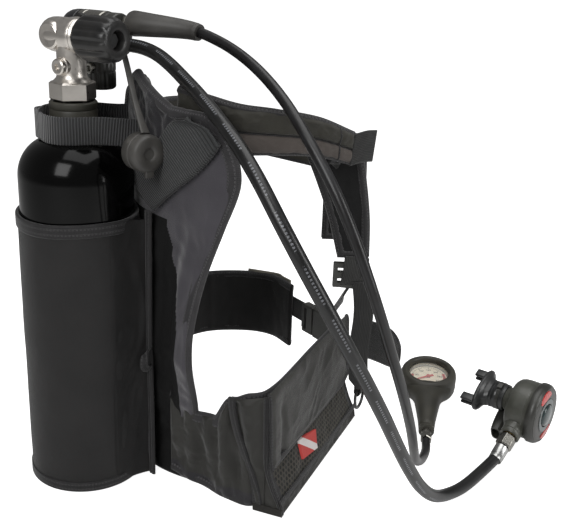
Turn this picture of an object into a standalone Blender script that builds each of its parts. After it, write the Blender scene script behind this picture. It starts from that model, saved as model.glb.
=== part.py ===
"""Compact breathing set: a small high-pressure cylinder in a harness, with valve, two-stage regulator and gauge.

Frame: origin at the middle of the cylinder's base on the ground, +Z up, +X the wearer's front, +Y the wearer's left.
All sizes are in metres.
"""
import math

import bmesh
import bpy
from mathutils import Matrix, Vector

GAP = 0.0003            # clearance between pieces that touch

# cylinder and its fabric pouch
CYL_R = 0.0555
CYL_WALL = 0.006
POUCH_FLOOR = 0.003
CYL_BASE = POUCH_FLOOR + GAP
SHOULDER_Z = 0.325
NECK_R = 0.020
NECK_TOP = 0.398
NECK_BORE_R = 0.0125
POUCH_IN_R = 0.0560
POUCH_OUT_R = 0.0590
POUCH_RIM = 0.289

# valve head
HEAD_Z = 0.457          # height of the valve's cross barrel
VALVE_TURN = -53.4      # degrees, heading of the handwheel
OUTLET_X = -0.013       # the outlet sits beside the column
HEX_FLATS = 0.038
HEX_HEIGHT = 0.0175
COLUMN_R = 0.0138
BARREL_R = 0.0165
WHEEL_R = 0.0210
WHEEL_START = 0.0172
WHEEL_END = 0.0580
WHEEL_RIBS = 12

# first stage, behind the valve, its axis parallel to the handwheel's
STAGE_Y = 0.056
STAGE_R = 0.0195
LP_PORT = (0.0485, -0.0095)      # y and z of the low-pressure port
HP_PORT = (0.0615, 0.0095)       # y and z of the high-pressure port
PORT_FACE = 0.0130

# hoses
LP_D = 0.013
HP_D = 0.010

# second stage
DEMAND_C = (0.4860, -0.1310, 0.0465)
DEMAND_AIM = -60.4      # degrees, heading of the front cover
DEMAND_TILT = 25.0      # degrees, the inlet dips
CASE_R = 0.0335
COVER_R = 0.0355
PURGE_TRAVEL = 0.003
LEVER_PIVOT_X = -0.018
NUT_END = -0.0620
INLET_Z = -0.0060        # height of the inlet's axis behind the cover's edge

# pressure gauge
GAUGE_C = (0.4345, 0.0095, 0.0261)
GAUGE_AIM = 58.8        # degrees, heading from the stem to the dial
GAUGE_TILT = 8.3
GAUGE_STEM = 0.122
STEM_Z = -0.001

# harness
PANEL_T = 0.008
PANEL_TOP = 0.425
TOP_DIP = 0.024         # the top edge falls towards the shoulders
WEB_W = 0.025
WEB_T = 0.002
BAND_T = 0.006
POCKET_A = Vector((0.162, -0.168, 0.0))
POCKET_AIM = 44.5       # degrees, heading of the pocket's long side
POCKET_L = 0.228
POCKET_D = 0.022
POCKET_H = 0.132
POCKET_WALL = 0.003
FRONT_A = Vector((0.304, 0.016, 0.0))
FRONT_U = Vector((-0.238, 0.971, 0.0)).normalized()
BUCKLE_Z = 0.105

PALETTE = {
    "black_gloss": ((0.010, 0.010, 0.011), 0.12, 0.0),
    "chrome": ((0.72, 0.71, 0.69), 0.14, 1.0),
    "black_rubber": ((0.030, 0.030, 0.032), 0.55, 0.0),
    "grey_rubber": ((0.16, 0.16, 0.15), 0.50, 0.0),
    "black_plastic": ((0.022, 0.022, 0.024), 0.35, 0.0),
    "nylon": ((0.030, 0.030, 0.034), 0.80, 0.0),
    "webbing": ((0.050, 0.050, 0.048), 0.75, 0.0),
    "brass": ((0.62, 0.48, 0.22), 0.30, 1.0),
    "spring_steel": ((0.60, 0.60, 0.60), 0.28, 1.0),
    "dial_face": ((0.80, 0.76, 0.58), 0.45, 0.0),
    "needle_red": ((0.55, 0.03, 0.02), 0.40, 0.0),
    "lens_clear": ((0.85, 0.88, 0.90), 0.05, 0.0),
    "button_blue": ((0.10, 0.14, 0.22), 0.20, 0.0),
    "silicone": ((0.040, 0.040, 0.042), 0.45, 0.0),
}


def clear_scene():
    """Remove every object."""
    for obj in list(bpy.data.objects):
        bpy.data.objects.remove(obj, do_unlink=True)


def material(key):
    """Return the Principled material of a palette entry."""
    found = bpy.data.materials.get(key)
    if found:
        return found
    colour, rough, metal = PALETTE[key]
    mat = bpy.data.materials.new(key)
    mat.use_nodes = True
    shader = mat.node_tree.nodes["Principled BSDF"]
    shader.inputs["Base Color"].default_value = (*colour, 1.0)
    shader.inputs["Roughness"].default_value = rough
    shader.inputs["Metallic"].default_value = metal
    return mat


def finish(name, bm, look, frame=None, smooth=True):
    """Turn a bmesh into a named object with outward faces."""
    bmesh.ops.recalc_face_normals(bm, faces=bm.faces)
    mesh = bpy.data.meshes.new(name)
    if frame is not None:
        bmesh.ops.transform(bm, matrix=frame, verts=bm.verts)
    bm.to_mesh(mesh)
    bm.free()
    if smooth:
        mesh.shade_smooth()
        mesh.set_sharp_from_angle(angle=math.radians(35))
    obj = bpy.data.objects.new(name, mesh)
    bpy.context.scene.collection.objects.link(obj)
    mesh.materials.append(material(look))
    return obj


def lathe(name, profile, look, frame=None, steps=32, ring=False, ribs=0, rib_depth=0.0, squash=None):
    """Turn a list of (radius, height) about Z; a ring profile is a closed loop, else it starts and ends on the axis."""
    bm = bmesh.new()
    rows = []
    for radius, height, *ribbed in profile:
        if radius == 0.0:
            rows.append([bm.verts.new((0.0, 0.0, height))])
            continue
        row = []
        for k in range(steps):
            angle = 2.0 * math.pi * (k + 0.5) / steps
            r = radius
            if ribs and ribbed and (k * ribs * 2 // steps) % 2:
                r = radius - rib_depth
            y_scale = squash(height) if squash else 1.0
            row.append(bm.verts.new((r * math.cos(angle), r * math.sin(angle) * y_scale, height)))
        rows.append(row)
    pairs = list(zip(rows, rows[1:]))
    if ring:
        pairs.append((rows[-1], rows[0]))
    for low, high in pairs:
        for k in range(steps):
            n = (k + 1) % steps
            if len(low) == 1:
                bm.faces.new((low[0], high[n], high[k]))
            elif len(high) == 1:
                bm.faces.new((low[k], low[n], high[0]))
            else:
                bm.faces.new((low[k], low[n], high[n], high[k]))
    return finish(name, bm, look, frame)


def prism(name, outline, depth, look, frame=None, smooth=False):
    """Extrude a closed 2-D outline along local Z."""
    bm = bmesh.new()
    low = [bm.verts.new((x, y, 0.0)) for x, y in outline]
    high = [bm.verts.new((x, y, depth)) for x, y in outline]
    bm.faces.new(low)
    bm.faces.new(high)
    count = len(outline)
    for k in range(count):
        n = (k + 1) % count
        bm.faces.new((low[k], low[n], high[n], high[k]))
    return finish(name, bm, look, frame, smooth)


def box(name, low, high, look, frame=None, bevel=0.0):
    """Make a box between two corners, its edges optionally rounded."""
    bm = bmesh.new()
    bmesh.ops.create_cube(bm, size=1.0)
    size = Vector(high) - Vector(low)
    middle = (Vector(high) + Vector(low)) / 2.0
    bmesh.ops.scale(bm, vec=size, verts=bm.verts)
    bmesh.ops.translate(bm, vec=middle, verts=bm.verts)
    if bevel:
        bmesh.ops.bevel(bm, geom=bm.edges[:], offset=bevel, segments=2, affect="EDGES", profile=0.5)
    return finish(name, bm, look, frame)


def sheet(name, rows, thickness, look):
    """Make a closed solid from a grid of points, thickened along the surface normal."""
    bm = bmesh.new()
    height = len(rows)
    width = len(rows[0])
    front = []
    back = []
    for i in range(height):
        front_row = []
        back_row = []
        for j in range(width):
            down = rows[min(i + 1, height - 1)][j] - rows[max(i - 1, 0)][j]
            across = rows[i][min(j + 1, width - 1)] - rows[i][max(j - 1, 0)]
            normal = down.cross(across).normalized()
            front_row.append(bm.verts.new(rows[i][j]))
            back_row.append(bm.verts.new(rows[i][j] + normal * thickness))
        front.append(front_row)
        back.append(back_row)
    for i in range(height - 1):
        for j in range(width - 1):
            for grid in (front, back):
                bm.faces.new((grid[i][j], grid[i][j + 1], grid[i + 1][j + 1], grid[i + 1][j]))
    for i in range(height - 1):
        for j in (0, width - 1):
            bm.faces.new((front[i][j], front[i + 1][j], back[i + 1][j], back[i][j]))
    for j in range(width - 1):
        for i in (0, height - 1):
            bm.faces.new((front[i][j], front[i][j + 1], back[i][j + 1], back[i][j]))
    return finish(name, bm, look)


def curve_through(points, count):
    """Read evenly spaced points from a smooth curve through the given ones."""
    pts = [Vector(p) for p in points]
    pts = [pts[0] * 2 - pts[1]] + pts + [pts[-1] * 2 - pts[-2]]
    fine = []
    for k in range(1, len(pts) - 2):
        a, b, c, d = pts[k - 1:k + 3]
        for step in range(24):
            t = step / 24.0
            fine.append(0.5 * (2 * b + (c - a) * t + (2 * a - 5 * b + 4 * c - d) * t ** 2
                               + (3 * b - a - 3 * c + d) * t ** 3))
    fine.append(pts[-2])
    lengths = [0.0]
    for a, b in zip(fine, fine[1:]):
        lengths.append(lengths[-1] + (b - a).length)
    out = []
    k = 0
    for n in range(count):
        target = lengths[-1] * n / (count - 1)
        while k < len(fine) - 2 and lengths[k + 1] < target:
            k += 1
        span = lengths[k + 1] - lengths[k]
        out.append(fine[k].lerp(fine[k + 1], (target - lengths[k]) / span))
    return out


def band(name, route, low, high, thickness, look, count=14, rows=3):
    """Make an upright band of fabric that follows a plan route between two heights."""
    path = curve_through([(x, y, 0.0) for x, y in route], count)
    grid = []
    for i in range(rows):
        z = low + (high - low) * i / (rows - 1)
        grid.append([Vector((p.x, p.y, z)) for p in path])
    return sheet(name, grid, thickness, look)


def ribbon(name, route, width, across, thickness, look, count=10, end_width=None):
    """Make a flat strap along a route, its width along the given direction, tapering to the end width."""
    path = curve_through(route, count)
    grid = []
    for i, p in enumerate(path):
        share = i / (len(path) - 1)
        wide = width + ((end_width or width) - width) * share
        half = Vector(across).normalized() * (wide / 2.0)
        grid.append([p - half, p, p + half])
    return sheet(name, grid, thickness, look)


def hose(name, route, diameter, look, count):
    """Make a hose as a round curve with filled ends."""
    data = bpy.data.curves.new(name, "CURVE")
    data.dimensions = "3D"
    data.bevel_depth = diameter / 2.0
    data.bevel_resolution = 2
    data.use_fill_caps = True
    points = curve_through(route, count)
    spline = data.splines.new("POLY")
    spline.points.add(len(points) - 1)
    for slot, point in zip(spline.points, points):
        slot.co = (*point, 1.0)
    data.materials.append(material(look))
    obj = bpy.data.objects.new(name, data)
    bpy.context.scene.collection.objects.link(obj)
    return obj


def sleeve(name, route, radii, bore, look, count=7, steps=14):
    """Make a tapered tube round a hose's route."""
    path = curve_through(route, count)
    bm = bmesh.new()
    outer = []
    inner = []
    for i, point in enumerate(path):
        ahead = (path[min(i + 1, count - 1)] - path[max(i - 1, 0)]).normalized()
        side = ahead.cross(Vector((0, 0, 1))).normalized()
        rise = side.cross(ahead)
        radius = radii[0] + (radii[1] - radii[0]) * i / (count - 1)
        angles = [2.0 * math.pi * k / steps for k in range(steps)]
        spokes = [side * math.cos(a) + rise * math.sin(a) for a in angles]
        outer.append([bm.verts.new(point + s * radius) for s in spokes])
        inner.append([bm.verts.new(point + s * bore) for s in spokes])
    for k in range(steps):
        n = (k + 1) % steps
        for i in range(count - 1):
            for wall in (outer, inner):
                bm.faces.new((wall[i][k], wall[i][n], wall[i + 1][n], wall[i + 1][k]))
        for i in (0, count - 1):
            bm.faces.new((outer[i][k], outer[i][n], inner[i][n], inner[i][k]))
    return finish(name, bm, look)


def combine(target, tool, operation):
    """Join a helper shape to an object or cut it away, and hide the helper."""
    tool.hide_render = True
    tool.display_type = "WIRE"
    tool.parent = target
    tool.name = "tool_" + tool.name
    step = target.modifiers.new(operation.lower(), "BOOLEAN")
    step.operation = operation
    step.solver = "EXACT"
    step.object = tool


def add(target, tool):
    """Join a helper shape to an object."""
    combine(target, tool, "UNION")


def cut(target, tool):
    """Cut a helper shape away from an object."""
    combine(target, tool, "DIFFERENCE")


def rod(name, r, low, high, frame, steps=24, look="chrome"):
    """Make a plain round rod along the frame's Z."""
    return lathe(name, [(0.0, low), (r, low), (r, high), (0.0, high)], look, frame, steps)


def ring_shape(name, r_in, r_out, low, high, look, frame=None, steps=32):
    """Make a plain ring about the frame's Z."""
    profile = [(r_in, low), (r_out, low), (r_out, high), (r_in, high)]
    return lathe(name, profile, look, frame, steps, ring=True)


def basis(origin, x_axis, y_axis, z_axis):
    """Build a placement matrix from three axes."""
    rows = Matrix((x_axis, y_axis, z_axis)).transposed()
    return Matrix.Translation(origin) @ rows.to_4x4()


def along_x(frame, y=0.0, z=0.0):
    """Turn local Z onto the frame's +X, through the given y and z."""
    return frame @ Matrix.Translation((0.0, y, z)) @ Matrix.Rotation(math.radians(90), 4, "Y")


def along_y(frame, x=0.0, z=0.0):
    """Turn local Z onto the frame's +Y, through the given x and z."""
    return frame @ Matrix.Translation((x, 0.0, z)) @ Matrix.Rotation(math.radians(-90), 4, "X")


def heading(degrees):
    """Return the level direction of a plan heading."""
    return Vector((math.cos(math.radians(degrees)), math.sin(math.radians(degrees)), 0.0))


UP = Vector((0.0, 0.0, 1.0))
D_RING_C = POCKET_A + heading(POCKET_AIM) * (POCKET_L + 0.0195) + heading(POCKET_AIM + 90.0) * 0.004 + UP * 0.019
D_RING_BAR = 0.0097     # height of the ring's straight bar above its middle
VALVE = Matrix.Translation((0.0, 0.0, HEAD_Z)) @ Matrix.Rotation(math.radians(VALVE_TURN), 4, "Z")


def demand_frame():
    """Second stage: +Z out of the cover, -X out of the inlet."""
    out = heading(DEMAND_AIM)
    inlet = heading(DEMAND_AIM - 90.0)
    dip = math.radians(DEMAND_TILT)
    x_axis = -inlet * math.cos(dip) + UP * math.sin(dip)
    y_axis = UP * math.cos(dip) + inlet * math.sin(dip)
    return basis(DEMAND_C, x_axis, y_axis, out)


def gauge_frame():
    """Gauge: +Z out of the dial, +Y from the stem to the dial."""
    ahead = heading(GAUGE_AIM)
    tilt = math.radians(GAUGE_TILT)
    y_axis = ahead * math.cos(tilt) + UP * math.sin(tilt)
    z_axis = UP * math.cos(tilt) - ahead * math.sin(tilt)
    return basis(GAUGE_C, y_axis.cross(z_axis), y_axis, z_axis)


DEMAND = demand_frame()
GAUGE = gauge_frame()


def make_cylinder():
    """Pressure vessel with an open neck."""
    dome_h = 0.038
    dome = []
    inner_dome = []
    for k in range(1, 6):
        a = math.radians(k * 15.0)
        dome.append((0.020 + (CYL_R - 0.020) * math.cos(a), SHOULDER_Z + dome_h * math.sin(a)))
        inner_dome.append((NECK_BORE_R + (CYL_R - CYL_WALL - NECK_BORE_R) * math.cos(a),
                           SHOULDER_Z + (dome_h - CYL_WALL) * math.sin(a)))
    profile = [(0.0, CYL_BASE + 0.004), (0.036, CYL_BASE + 0.003), (0.046, CYL_BASE),
               (CYL_R - 0.003, CYL_BASE), (CYL_R, CYL_BASE + 0.004), (CYL_R, SHOULDER_Z)]
    profile += dome
    profile += [(NECK_R, SHOULDER_Z + dome_h + 0.003), (NECK_R, NECK_TOP), (NECK_BORE_R, NECK_TOP)]
    profile += [(NECK_BORE_R, SHOULDER_Z + dome_h - CYL_WALL)]
    profile += inner_dome[::-1]
    profile += [(CYL_R - CYL_WALL, SHOULDER_Z), (CYL_R - CYL_WALL, CYL_BASE + 0.016), (0.0, CYL_BASE + 0.010)]
    lathe("cylinder_shell", profile, "black_gloss", steps=26)


def make_valve():
    """Chromed valve: hexagon, column, cross barrel, outlet and plug."""
    hex_frame = Matrix.Rotation(math.radians(VALVE_TURN + 18.0), 4, "Z")
    hex_r = HEX_FLATS / 2.0 / math.cos(math.radians(30))
    base = NECK_TOP + GAP
    body = lathe("valve_body", [(0.0, base), (hex_r - 0.001, base), (hex_r, base + 0.001),
                                (hex_r, base + HEX_HEIGHT - 0.001), (hex_r - 0.0015, base + HEX_HEIGHT),
                                (0.0, base + HEX_HEIGHT)], "chrome", hex_frame, steps=6)
    add(body, rod("column", COLUMN_R, base + HEX_HEIGHT - 0.002, HEAD_Z, Matrix.Identity(4), 20))
    add(body, rod("neck_stub", NECK_BORE_R - 0.0006, 0.374, base + 0.002, Matrix.Identity(4), 16))
    dome = [(0.0, -0.0310), (0.0065, -0.0303), (0.0115, -0.0280), (0.0148, -0.0245), (BARREL_R, -0.0190),
            (BARREL_R, 0.0110), (0.0152, 0.0142), (0.0, 0.0142)]
    add(body, lathe("barrel", dome, "chrome", along_x(VALVE), 24))
    add(body, rod("outlet", 0.0150, 0.0, 0.0262, along_y(VALVE, OUTLET_X), 24))
    add(body, rod("plug_boss", 0.0080, -0.0150, 0.0, along_y(VALVE, 0.0, 0.430 - HEAD_Z), 20))
    cut(body, rod("outlet_bore", 0.0108, 0.0120, 0.0300, along_y(VALVE, OUTLET_X), 24))
    cut(body, rod("spindle_bore", 0.0051, -0.0040, 0.0200, along_x(VALVE), 16))
    cut(body, rod("back_facet", 0.0110, -0.0200, -0.0150, along_y(VALVE, OUTLET_X), 24))
    cut(body, rod("back_dimple", 0.0022, -0.0160, -0.0132, along_y(VALVE, OUTLET_X), 12))
    plug = along_y(VALVE, 0.0, 0.430 - HEAD_Z)
    lathe("burst_disc_plug", [(0.0, -0.0180), (0.0030, -0.0180), (0.0034, -0.0192), (0.0066, -0.0192),
                              (0.0076, -0.0182), (0.0076, -0.0153), (0.0, -0.0153)], "chrome", plug, 20)
    axis = along_x(VALVE)
    ring_shape("valve_bonnet", 0.0062, 0.0106, 0.0145, 0.0190, "chrome", axis, 6)
    rod("valve_spindle", 0.0048, -0.0035, 0.0470, axis, 16, "spring_steel")
    wheel = [(0.0052, 0.0225), (0.0120, 0.0225), (0.0120, WHEEL_START), (0.0175, WHEEL_START),
             (0.0200, 0.0195, True), (WHEEL_R, 0.0235, True), (WHEEL_R, 0.0490, True),
             (0.0192, 0.0550, True), (0.0160, WHEEL_END), (0.0095, WHEEL_END), (0.0085, 0.0480), (0.0052, 0.0480)]
    lathe("valve_handwheel", wheel, "black_rubber", axis, WHEEL_RIBS * 4, True, WHEEL_RIBS, 0.0014)
    rod("handwheel_screw", 0.0066, 0.0483, 0.0520, axis, 6, "spring_steel")


def make_first_stage():
    """Threaded connector, piston stage, port block and its fittings."""
    outlet = along_y(VALVE, OUTLET_X)
    stem = [(0.0, 0.0125), (0.0095, 0.0125), (0.0104, 0.0135), (0.0104, 0.0260), (0.0080, 0.0260),
            (0.0080, 0.0346), (0.0, 0.0346)]
    lathe("connector_stem", stem, "chrome", outlet, 24)
    grip = [(0.0083, 0.0268), (0.0175, 0.0268, True), (0.0185, 0.0278, True), (0.0185, 0.0330, True),
            (0.0175, 0.0342, True), (0.0083, 0.0342)]
    lathe("connector_handwheel", grip, "black_rubber", outlet, 36, True, 9, 0.0010)

    axis = along_x(VALVE, STAGE_Y)
    body = lathe("first_stage_body", [(0.0, -0.0340), (STAGE_R - 0.001, -0.0340), (STAGE_R, -0.0330),
                                      (STAGE_R, -0.0050), (STAGE_R - 0.001, -0.0040), (0.0, -0.0040)],
                 "chrome", axis, 24)
    add(body, rod("inlet_boss", 0.0090, 0.0350, 0.0500, outlet, 24))
    down = VALVE @ Matrix.Translation((-0.0140, STAGE_Y, 0.0))
    add(body, rod("chamber_boss", 0.0100, -0.0225, -0.0120, down, 24))
    cut(body, rod("piston_bore", 0.0120, -0.0400, -0.0100, axis, 20))
    lathe("piston", [(0.0, -0.0290), (0.0116, -0.0290), (0.0116, -0.0250), (0.0040, -0.0250),
                     (0.0040, -0.0105), (0.0, -0.0105)], "brass", axis, 20)
    make_spring("piston_spring", axis, 0.0080, 0.0009, -0.0238, -0.0112, 4)
    cap = [(0.0, -0.0560), (0.0090, -0.0552), (0.0150, -0.0520), (0.0184, -0.0460), (0.0192, -0.0400),
           (0.0192, -0.0343), (0.0160, -0.0343), (0.0155, -0.0440), (0.0110, -0.0500), (0.0, -0.0520)]
    lathe("first_stage_cap", cap, "black_rubber", axis, 24)
    block = [(0.0, -0.0037), (0.0185, -0.0037), (0.0185, 0.0115), (0.0170, PORT_FACE), (0.0, PORT_FACE)]
    lathe("port_block", block, "black_plastic", axis, 24)
    chamber = [(0.0, -0.0570), (0.0120, -0.0570), (0.0145, -0.0545), (0.0145, -0.0250), (0.0135, -0.0228),
               (0.0, -0.0228)]
    lathe("regulating_cap", chamber, "black_plastic", down, 12)
    side = along_y(VALVE, -0.0140, -0.0350)
    lathe("port_plug", [(0.0, 0.0385), (0.0022, 0.0385), (0.0026, 0.0374), (0.0046, 0.0374), (0.0052, 0.0380),
                        (0.0052, 0.0414), (0.0, 0.0414)], "chrome", side, 18)
    face = PORT_FACE + GAP
    rod("gauge_hose_fitting", 0.0070, face, 0.0215, along_x(VALVE, *HP_PORT), 6)
    rod("lp_fitting", 0.0082, face, 0.0265, along_x(VALVE, *LP_PORT), 6)


def make_spring(name, frame, radius, wire, low, high, turns):
    """Coil spring with its ends filled."""
    data = bpy.data.curves.new(name, "CURVE")
    data.dimensions = "3D"
    data.bevel_depth = wire
    data.bevel_resolution = 1
    data.use_fill_caps = True
    steps = turns * 10
    spline = data.splines.new("POLY")
    spline.points.add(steps)
    for k in range(steps + 1):
        angle = 2.0 * math.pi * k / 10.0
        point = Vector((radius * math.cos(angle), radius * math.sin(angle), low + (high - low) * k / steps))
        spline.points[k].co = (*(frame @ point), 1.0)
    data.materials.append(material("spring_steel"))
    obj = bpy.data.objects.new(name, data)
    bpy.context.scene.collection.objects.link(obj)
    return obj


def lp_route():
    """Low-pressure hose, from its fitting over the wearer's right to the second stage's inlet."""
    start = VALVE @ Vector((0.0272, *LP_PORT))
    end = DEMAND @ Vector((NUT_END - 0.0006, 0.0, INLET_Z))
    before = DEMAND @ Vector((NUT_END - 0.0150, 0.0, INLET_Z))
    middle = [(0.0660, -0.0075, 0.4463), (0.0750, -0.0260, 0.4425), (0.0810, -0.0500, 0.4360),
              (0.0860, -0.0800, 0.4270), (0.0910, -0.1130, 0.4165), (0.0960, -0.1470, 0.4035),
              (0.1020, -0.1820, 0.3870), (0.1090, -0.2130, 0.3650), (0.1190, -0.2400, 0.3350),
              (0.1330, -0.2590, 0.3020), (0.1500, -0.2700, 0.2680), (0.1690, -0.2740, 0.2330),
              (0.1900, -0.2710, 0.1970), (0.2120, -0.2630, 0.1600), (0.2350, -0.2510, 0.1210),
              (0.2590, -0.2380, 0.0820), (0.2840, -0.2240, 0.0470), (0.3110, -0.2100, 0.0210),
              (0.3400, -0.1970, 0.0092), (0.3700, -0.1850, 0.0074)]
    return [start] + middle + [before, end]


def hp_route():
    """High-pressure hose, from its fitting over the wearer's right to the gauge's stem."""
    start = VALVE @ Vector((0.0221, *HP_PORT))
    lead = VALVE @ Vector((0.0400, *HP_PORT))
    end = GAUGE @ Vector((0.0, -GAUGE_STEM - 0.0006, STEM_Z))
    before = GAUGE @ Vector((0.0, -GAUGE_STEM - 0.018, STEM_Z))
    middle = [(0.1090, -0.0260, 0.4640), (0.1250, -0.0560, 0.4580), (0.1370, -0.0900, 0.4480),
              (0.1460, -0.1260, 0.4340), (0.1530, -0.1630, 0.4150), (0.1610, -0.1970, 0.3880),
              (0.1710, -0.2240, 0.3570), (0.1820, -0.2420, 0.3220), (0.1940, -0.2520, 0.2850),
              (0.2080, -0.2550, 0.2470), (0.2240, -0.2500, 0.2090), (0.2420, -0.2390, 0.1720),
              (0.2610, -0.2230, 0.1350), (0.2800, -0.2040, 0.0990), (0.2980, -0.1830, 0.0650),
              (0.3150, -0.1620, 0.0360), (0.3305, -0.1440, 0.0180), (0.3470, -0.1270, 0.0080)]
    return [start, lead] + middle + [before, end]


def make_hoses():
    """Both hoses and the tapered rubber sleeve on the thinner one."""
    hose("lp_hose", lp_route(), LP_D, "black_rubber", 40)
    hose("gauge_hose", hp_route(), HP_D, "black_rubber", 46)
    fine = curve_through(hp_route(), 600)
    sleeve("gauge_hose_sleeve", fine[1:59:8], (0.0125, 0.0080), 0.0066, "grey_rubber")


def make_dust_cap():
    """Screw-on dust cap on a rubber strap that loops round the low-pressure hose."""
    ring_frame = along_x(VALVE, *LP_PORT)
    loop = ring_shape("dust_cap_strap", 0.0087, 0.0102, 0.0185, 0.0245, "grey_rubber", ring_frame, 20)
    top = VALVE @ Vector((0.0215, LP_PORT[0], LP_PORT[1] - 0.0092))
    cap_c = Vector((0.0505, -0.0740, 0.3600))
    aim = heading(-71.3)
    route = [top, (0.0510, -0.0060, 0.4270), (0.0490, -0.0380, 0.4060), (0.0490, -0.0630, 0.3880),
             cap_c + UP * 0.0184]
    add(loop, ribbon("strap_run", route, 0.0060, (0.9, 0.45, 0.0), 0.0020, "grey_rubber", 10))
    side = aim.cross(UP)
    frame = basis(cap_c, side, UP, -aim)
    cup = [(0.0, -0.0090), (0.0160, -0.0090), (0.0178, -0.0070), (0.0178, 0.0130), (0.0150, 0.0130),
           (0.0145, -0.0040), (0.0, -0.0050)]
    cap = lathe("dust_cap", cup, "grey_rubber", frame, 24)
    add(cap, box("cap_tab", (-0.004, -0.0220, -0.0080), (0.004, -0.0150, -0.0040), "grey_rubber", frame))


def lips(height):
    """Return how far the mouthpiece flattens towards the bite."""
    return 1.0 - 0.38 * min(1.0, max(0.0, (-0.046 - height) / 0.008))


def make_second_stage():
    """Demand valve: case, cover, purge button, diaphragm, lever, barrel, poppet, exhaust and mouthpiece."""
    front = 0.0100
    back = -0.0220
    case = lathe("second_stage_case",
                 [(0.0, back), (0.0280, back), (CASE_R, back + 0.006), (CASE_R, front), (CASE_R - 0.0025, front),
                  (CASE_R - 0.0025, back + 0.007), (0.0265, back + 0.0025), (0.0, back + 0.0025)],
                 "black_plastic", DEMAND, 24)
    neck = DEMAND @ Matrix.Translation((0.0, 0.007, 0.0))
    add(case, rod("neck", 0.0125, -0.0420, back + 0.001, neck, 20))
    inlet = along_x(DEMAND, 0.0, INLET_Z)
    add(case, rod("inlet_housing", 0.0115, -0.0450, -0.0290, inlet, 20))
    cut(case, rod("neck_bore", 0.0100, -0.0500, -0.0150, neck, 16))
    cut(case, rod("inlet_bore", 0.0085, -0.0500, -0.0200, inlet, 16))
    port = DEMAND @ Matrix.Translation((0.0, -0.0175, 0.0))
    cut(case, rod("exhaust_port", 0.0080, -0.0260, -0.0150, port, 16))

    cover = [(0.0135, 0.0160), (0.0300, 0.0145), (0.0335, 0.0112), (0.0338, 0.0103), (0.0338, 0.0062),
             (COVER_R, 0.0062), (COVER_R, 0.0120), (0.0335, 0.0165), (0.0290, 0.0180), (0.0135, 0.0185)]
    shell = lathe("second_stage_cover", cover, "black_plastic", DEMAND, 24, ring=True)
    for side in (-1, 1):
        cut(shell, box("slot", (-0.012, side * 0.0235 - 0.0025, 0.010), (0.012, side * 0.0235 + 0.0025, 0.022),
                       "black_plastic", DEMAND))
    button = [(0.0, 0.0120), (0.0155, 0.0120), (0.0155, 0.0148), (0.0128, 0.0148), (0.0128, 0.0190),
              (0.0110, 0.0210), (0.0060, 0.0218), (0.0, 0.0220)]
    lathe("purge_button", button, "button_blue", DEMAND, 20)
    disc = [(0.0, 0.0088), (0.0100, 0.0088), (0.0125, 0.0078), (0.0260, 0.0078), (0.0295, 0.0090),
            (0.0295, 0.0098), (0.0255, 0.0088), (0.0130, 0.0088), (0.0105, 0.0098), (0.0, 0.0098)]
    lathe("diaphragm", disc, "silicone", DEMAND, 20)

    ring_shape("air_barrel", 0.0050, 0.0081, -0.0455, -0.0200, "brass", inlet, 20)
    rod("poppet", 0.0045, -0.0400, -0.0193, inlet, 16, "black_plastic")
    pivot = LEVER_PIVOT_X
    outline = [(pivot - 0.0010, -0.0060), (pivot + 0.0010, -0.0060), (pivot + 0.0014, -0.0008), (0.0015, 0.0066),
               (0.0015, 0.0078), (-0.0015, 0.0078), (pivot - 0.0010, 0.0006)]
    lever = DEMAND @ Matrix.Translation((0.0, 0.0025, 0.0)) @ Matrix.Rotation(math.radians(90), 4, "X")
    prism("demand_lever", outline, 0.0050, "spring_steel", lever)
    ring_shape("lp_swivel_nut", 0.0052, 0.0100, NUT_END, -0.0458, "chrome", inlet, 6)

    flap = [(0.0, -0.0235), (0.0110, -0.0235), (0.0118, -0.0228), (0.0, -0.0223)]
    lathe("exhaust_valve", flap, "silicone", port, 20)
    tee = box("exhaust_tee", (-0.0330, -0.0325, -0.0400), (0.0330, -0.0092, -0.0240), "black_plastic", DEMAND, 0.003)
    cut(tee, box("tee_duct", (-0.0400, -0.0300, -0.0375), (0.0400, -0.0150, -0.0262), "black_plastic", DEMAND))
    cut(tee, rod("tee_mouth", 0.0125, -0.0300, -0.0200, DEMAND @ Matrix.Translation((0.0, -0.0195, 0.0)), 20))
    cut(tee, rod("tee_saddle", 0.0169, -0.0500, -0.0200, neck, 28))

    tube = [(0.0131, -0.0290), (0.0150, -0.0290), (0.0150, -0.0440), (0.0165, -0.0500), (0.0280, -0.0560),
            (0.0285, -0.0590), (0.0200, -0.0620), (0.0185, -0.0660), (0.0131, -0.0660), (0.0131, -0.0560),
            (0.0131, -0.0440)]
    mouth = lathe("mouthpiece", tube, "silicone", neck, 20, ring=True, squash=lips)
    for side in (-1, 1):
        low = (side * 0.0175 - 0.0045, -0.0060, -0.0780)
        high = (side * 0.0175 + 0.0045, 0.0060, -0.0600)
        add(mouth, box("bite", low, high, "silicone", neck, 0.0012))
    tie = ring_shape("mouthpiece_tie", 0.0153, 0.0163, -0.0380, -0.0345, "black_plastic", neck, 28)
    add(tie, box("tie_head", (-0.003, 0.0155, -0.0390), (0.003, 0.0190, -0.0335), "black_plastic", neck))


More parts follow.
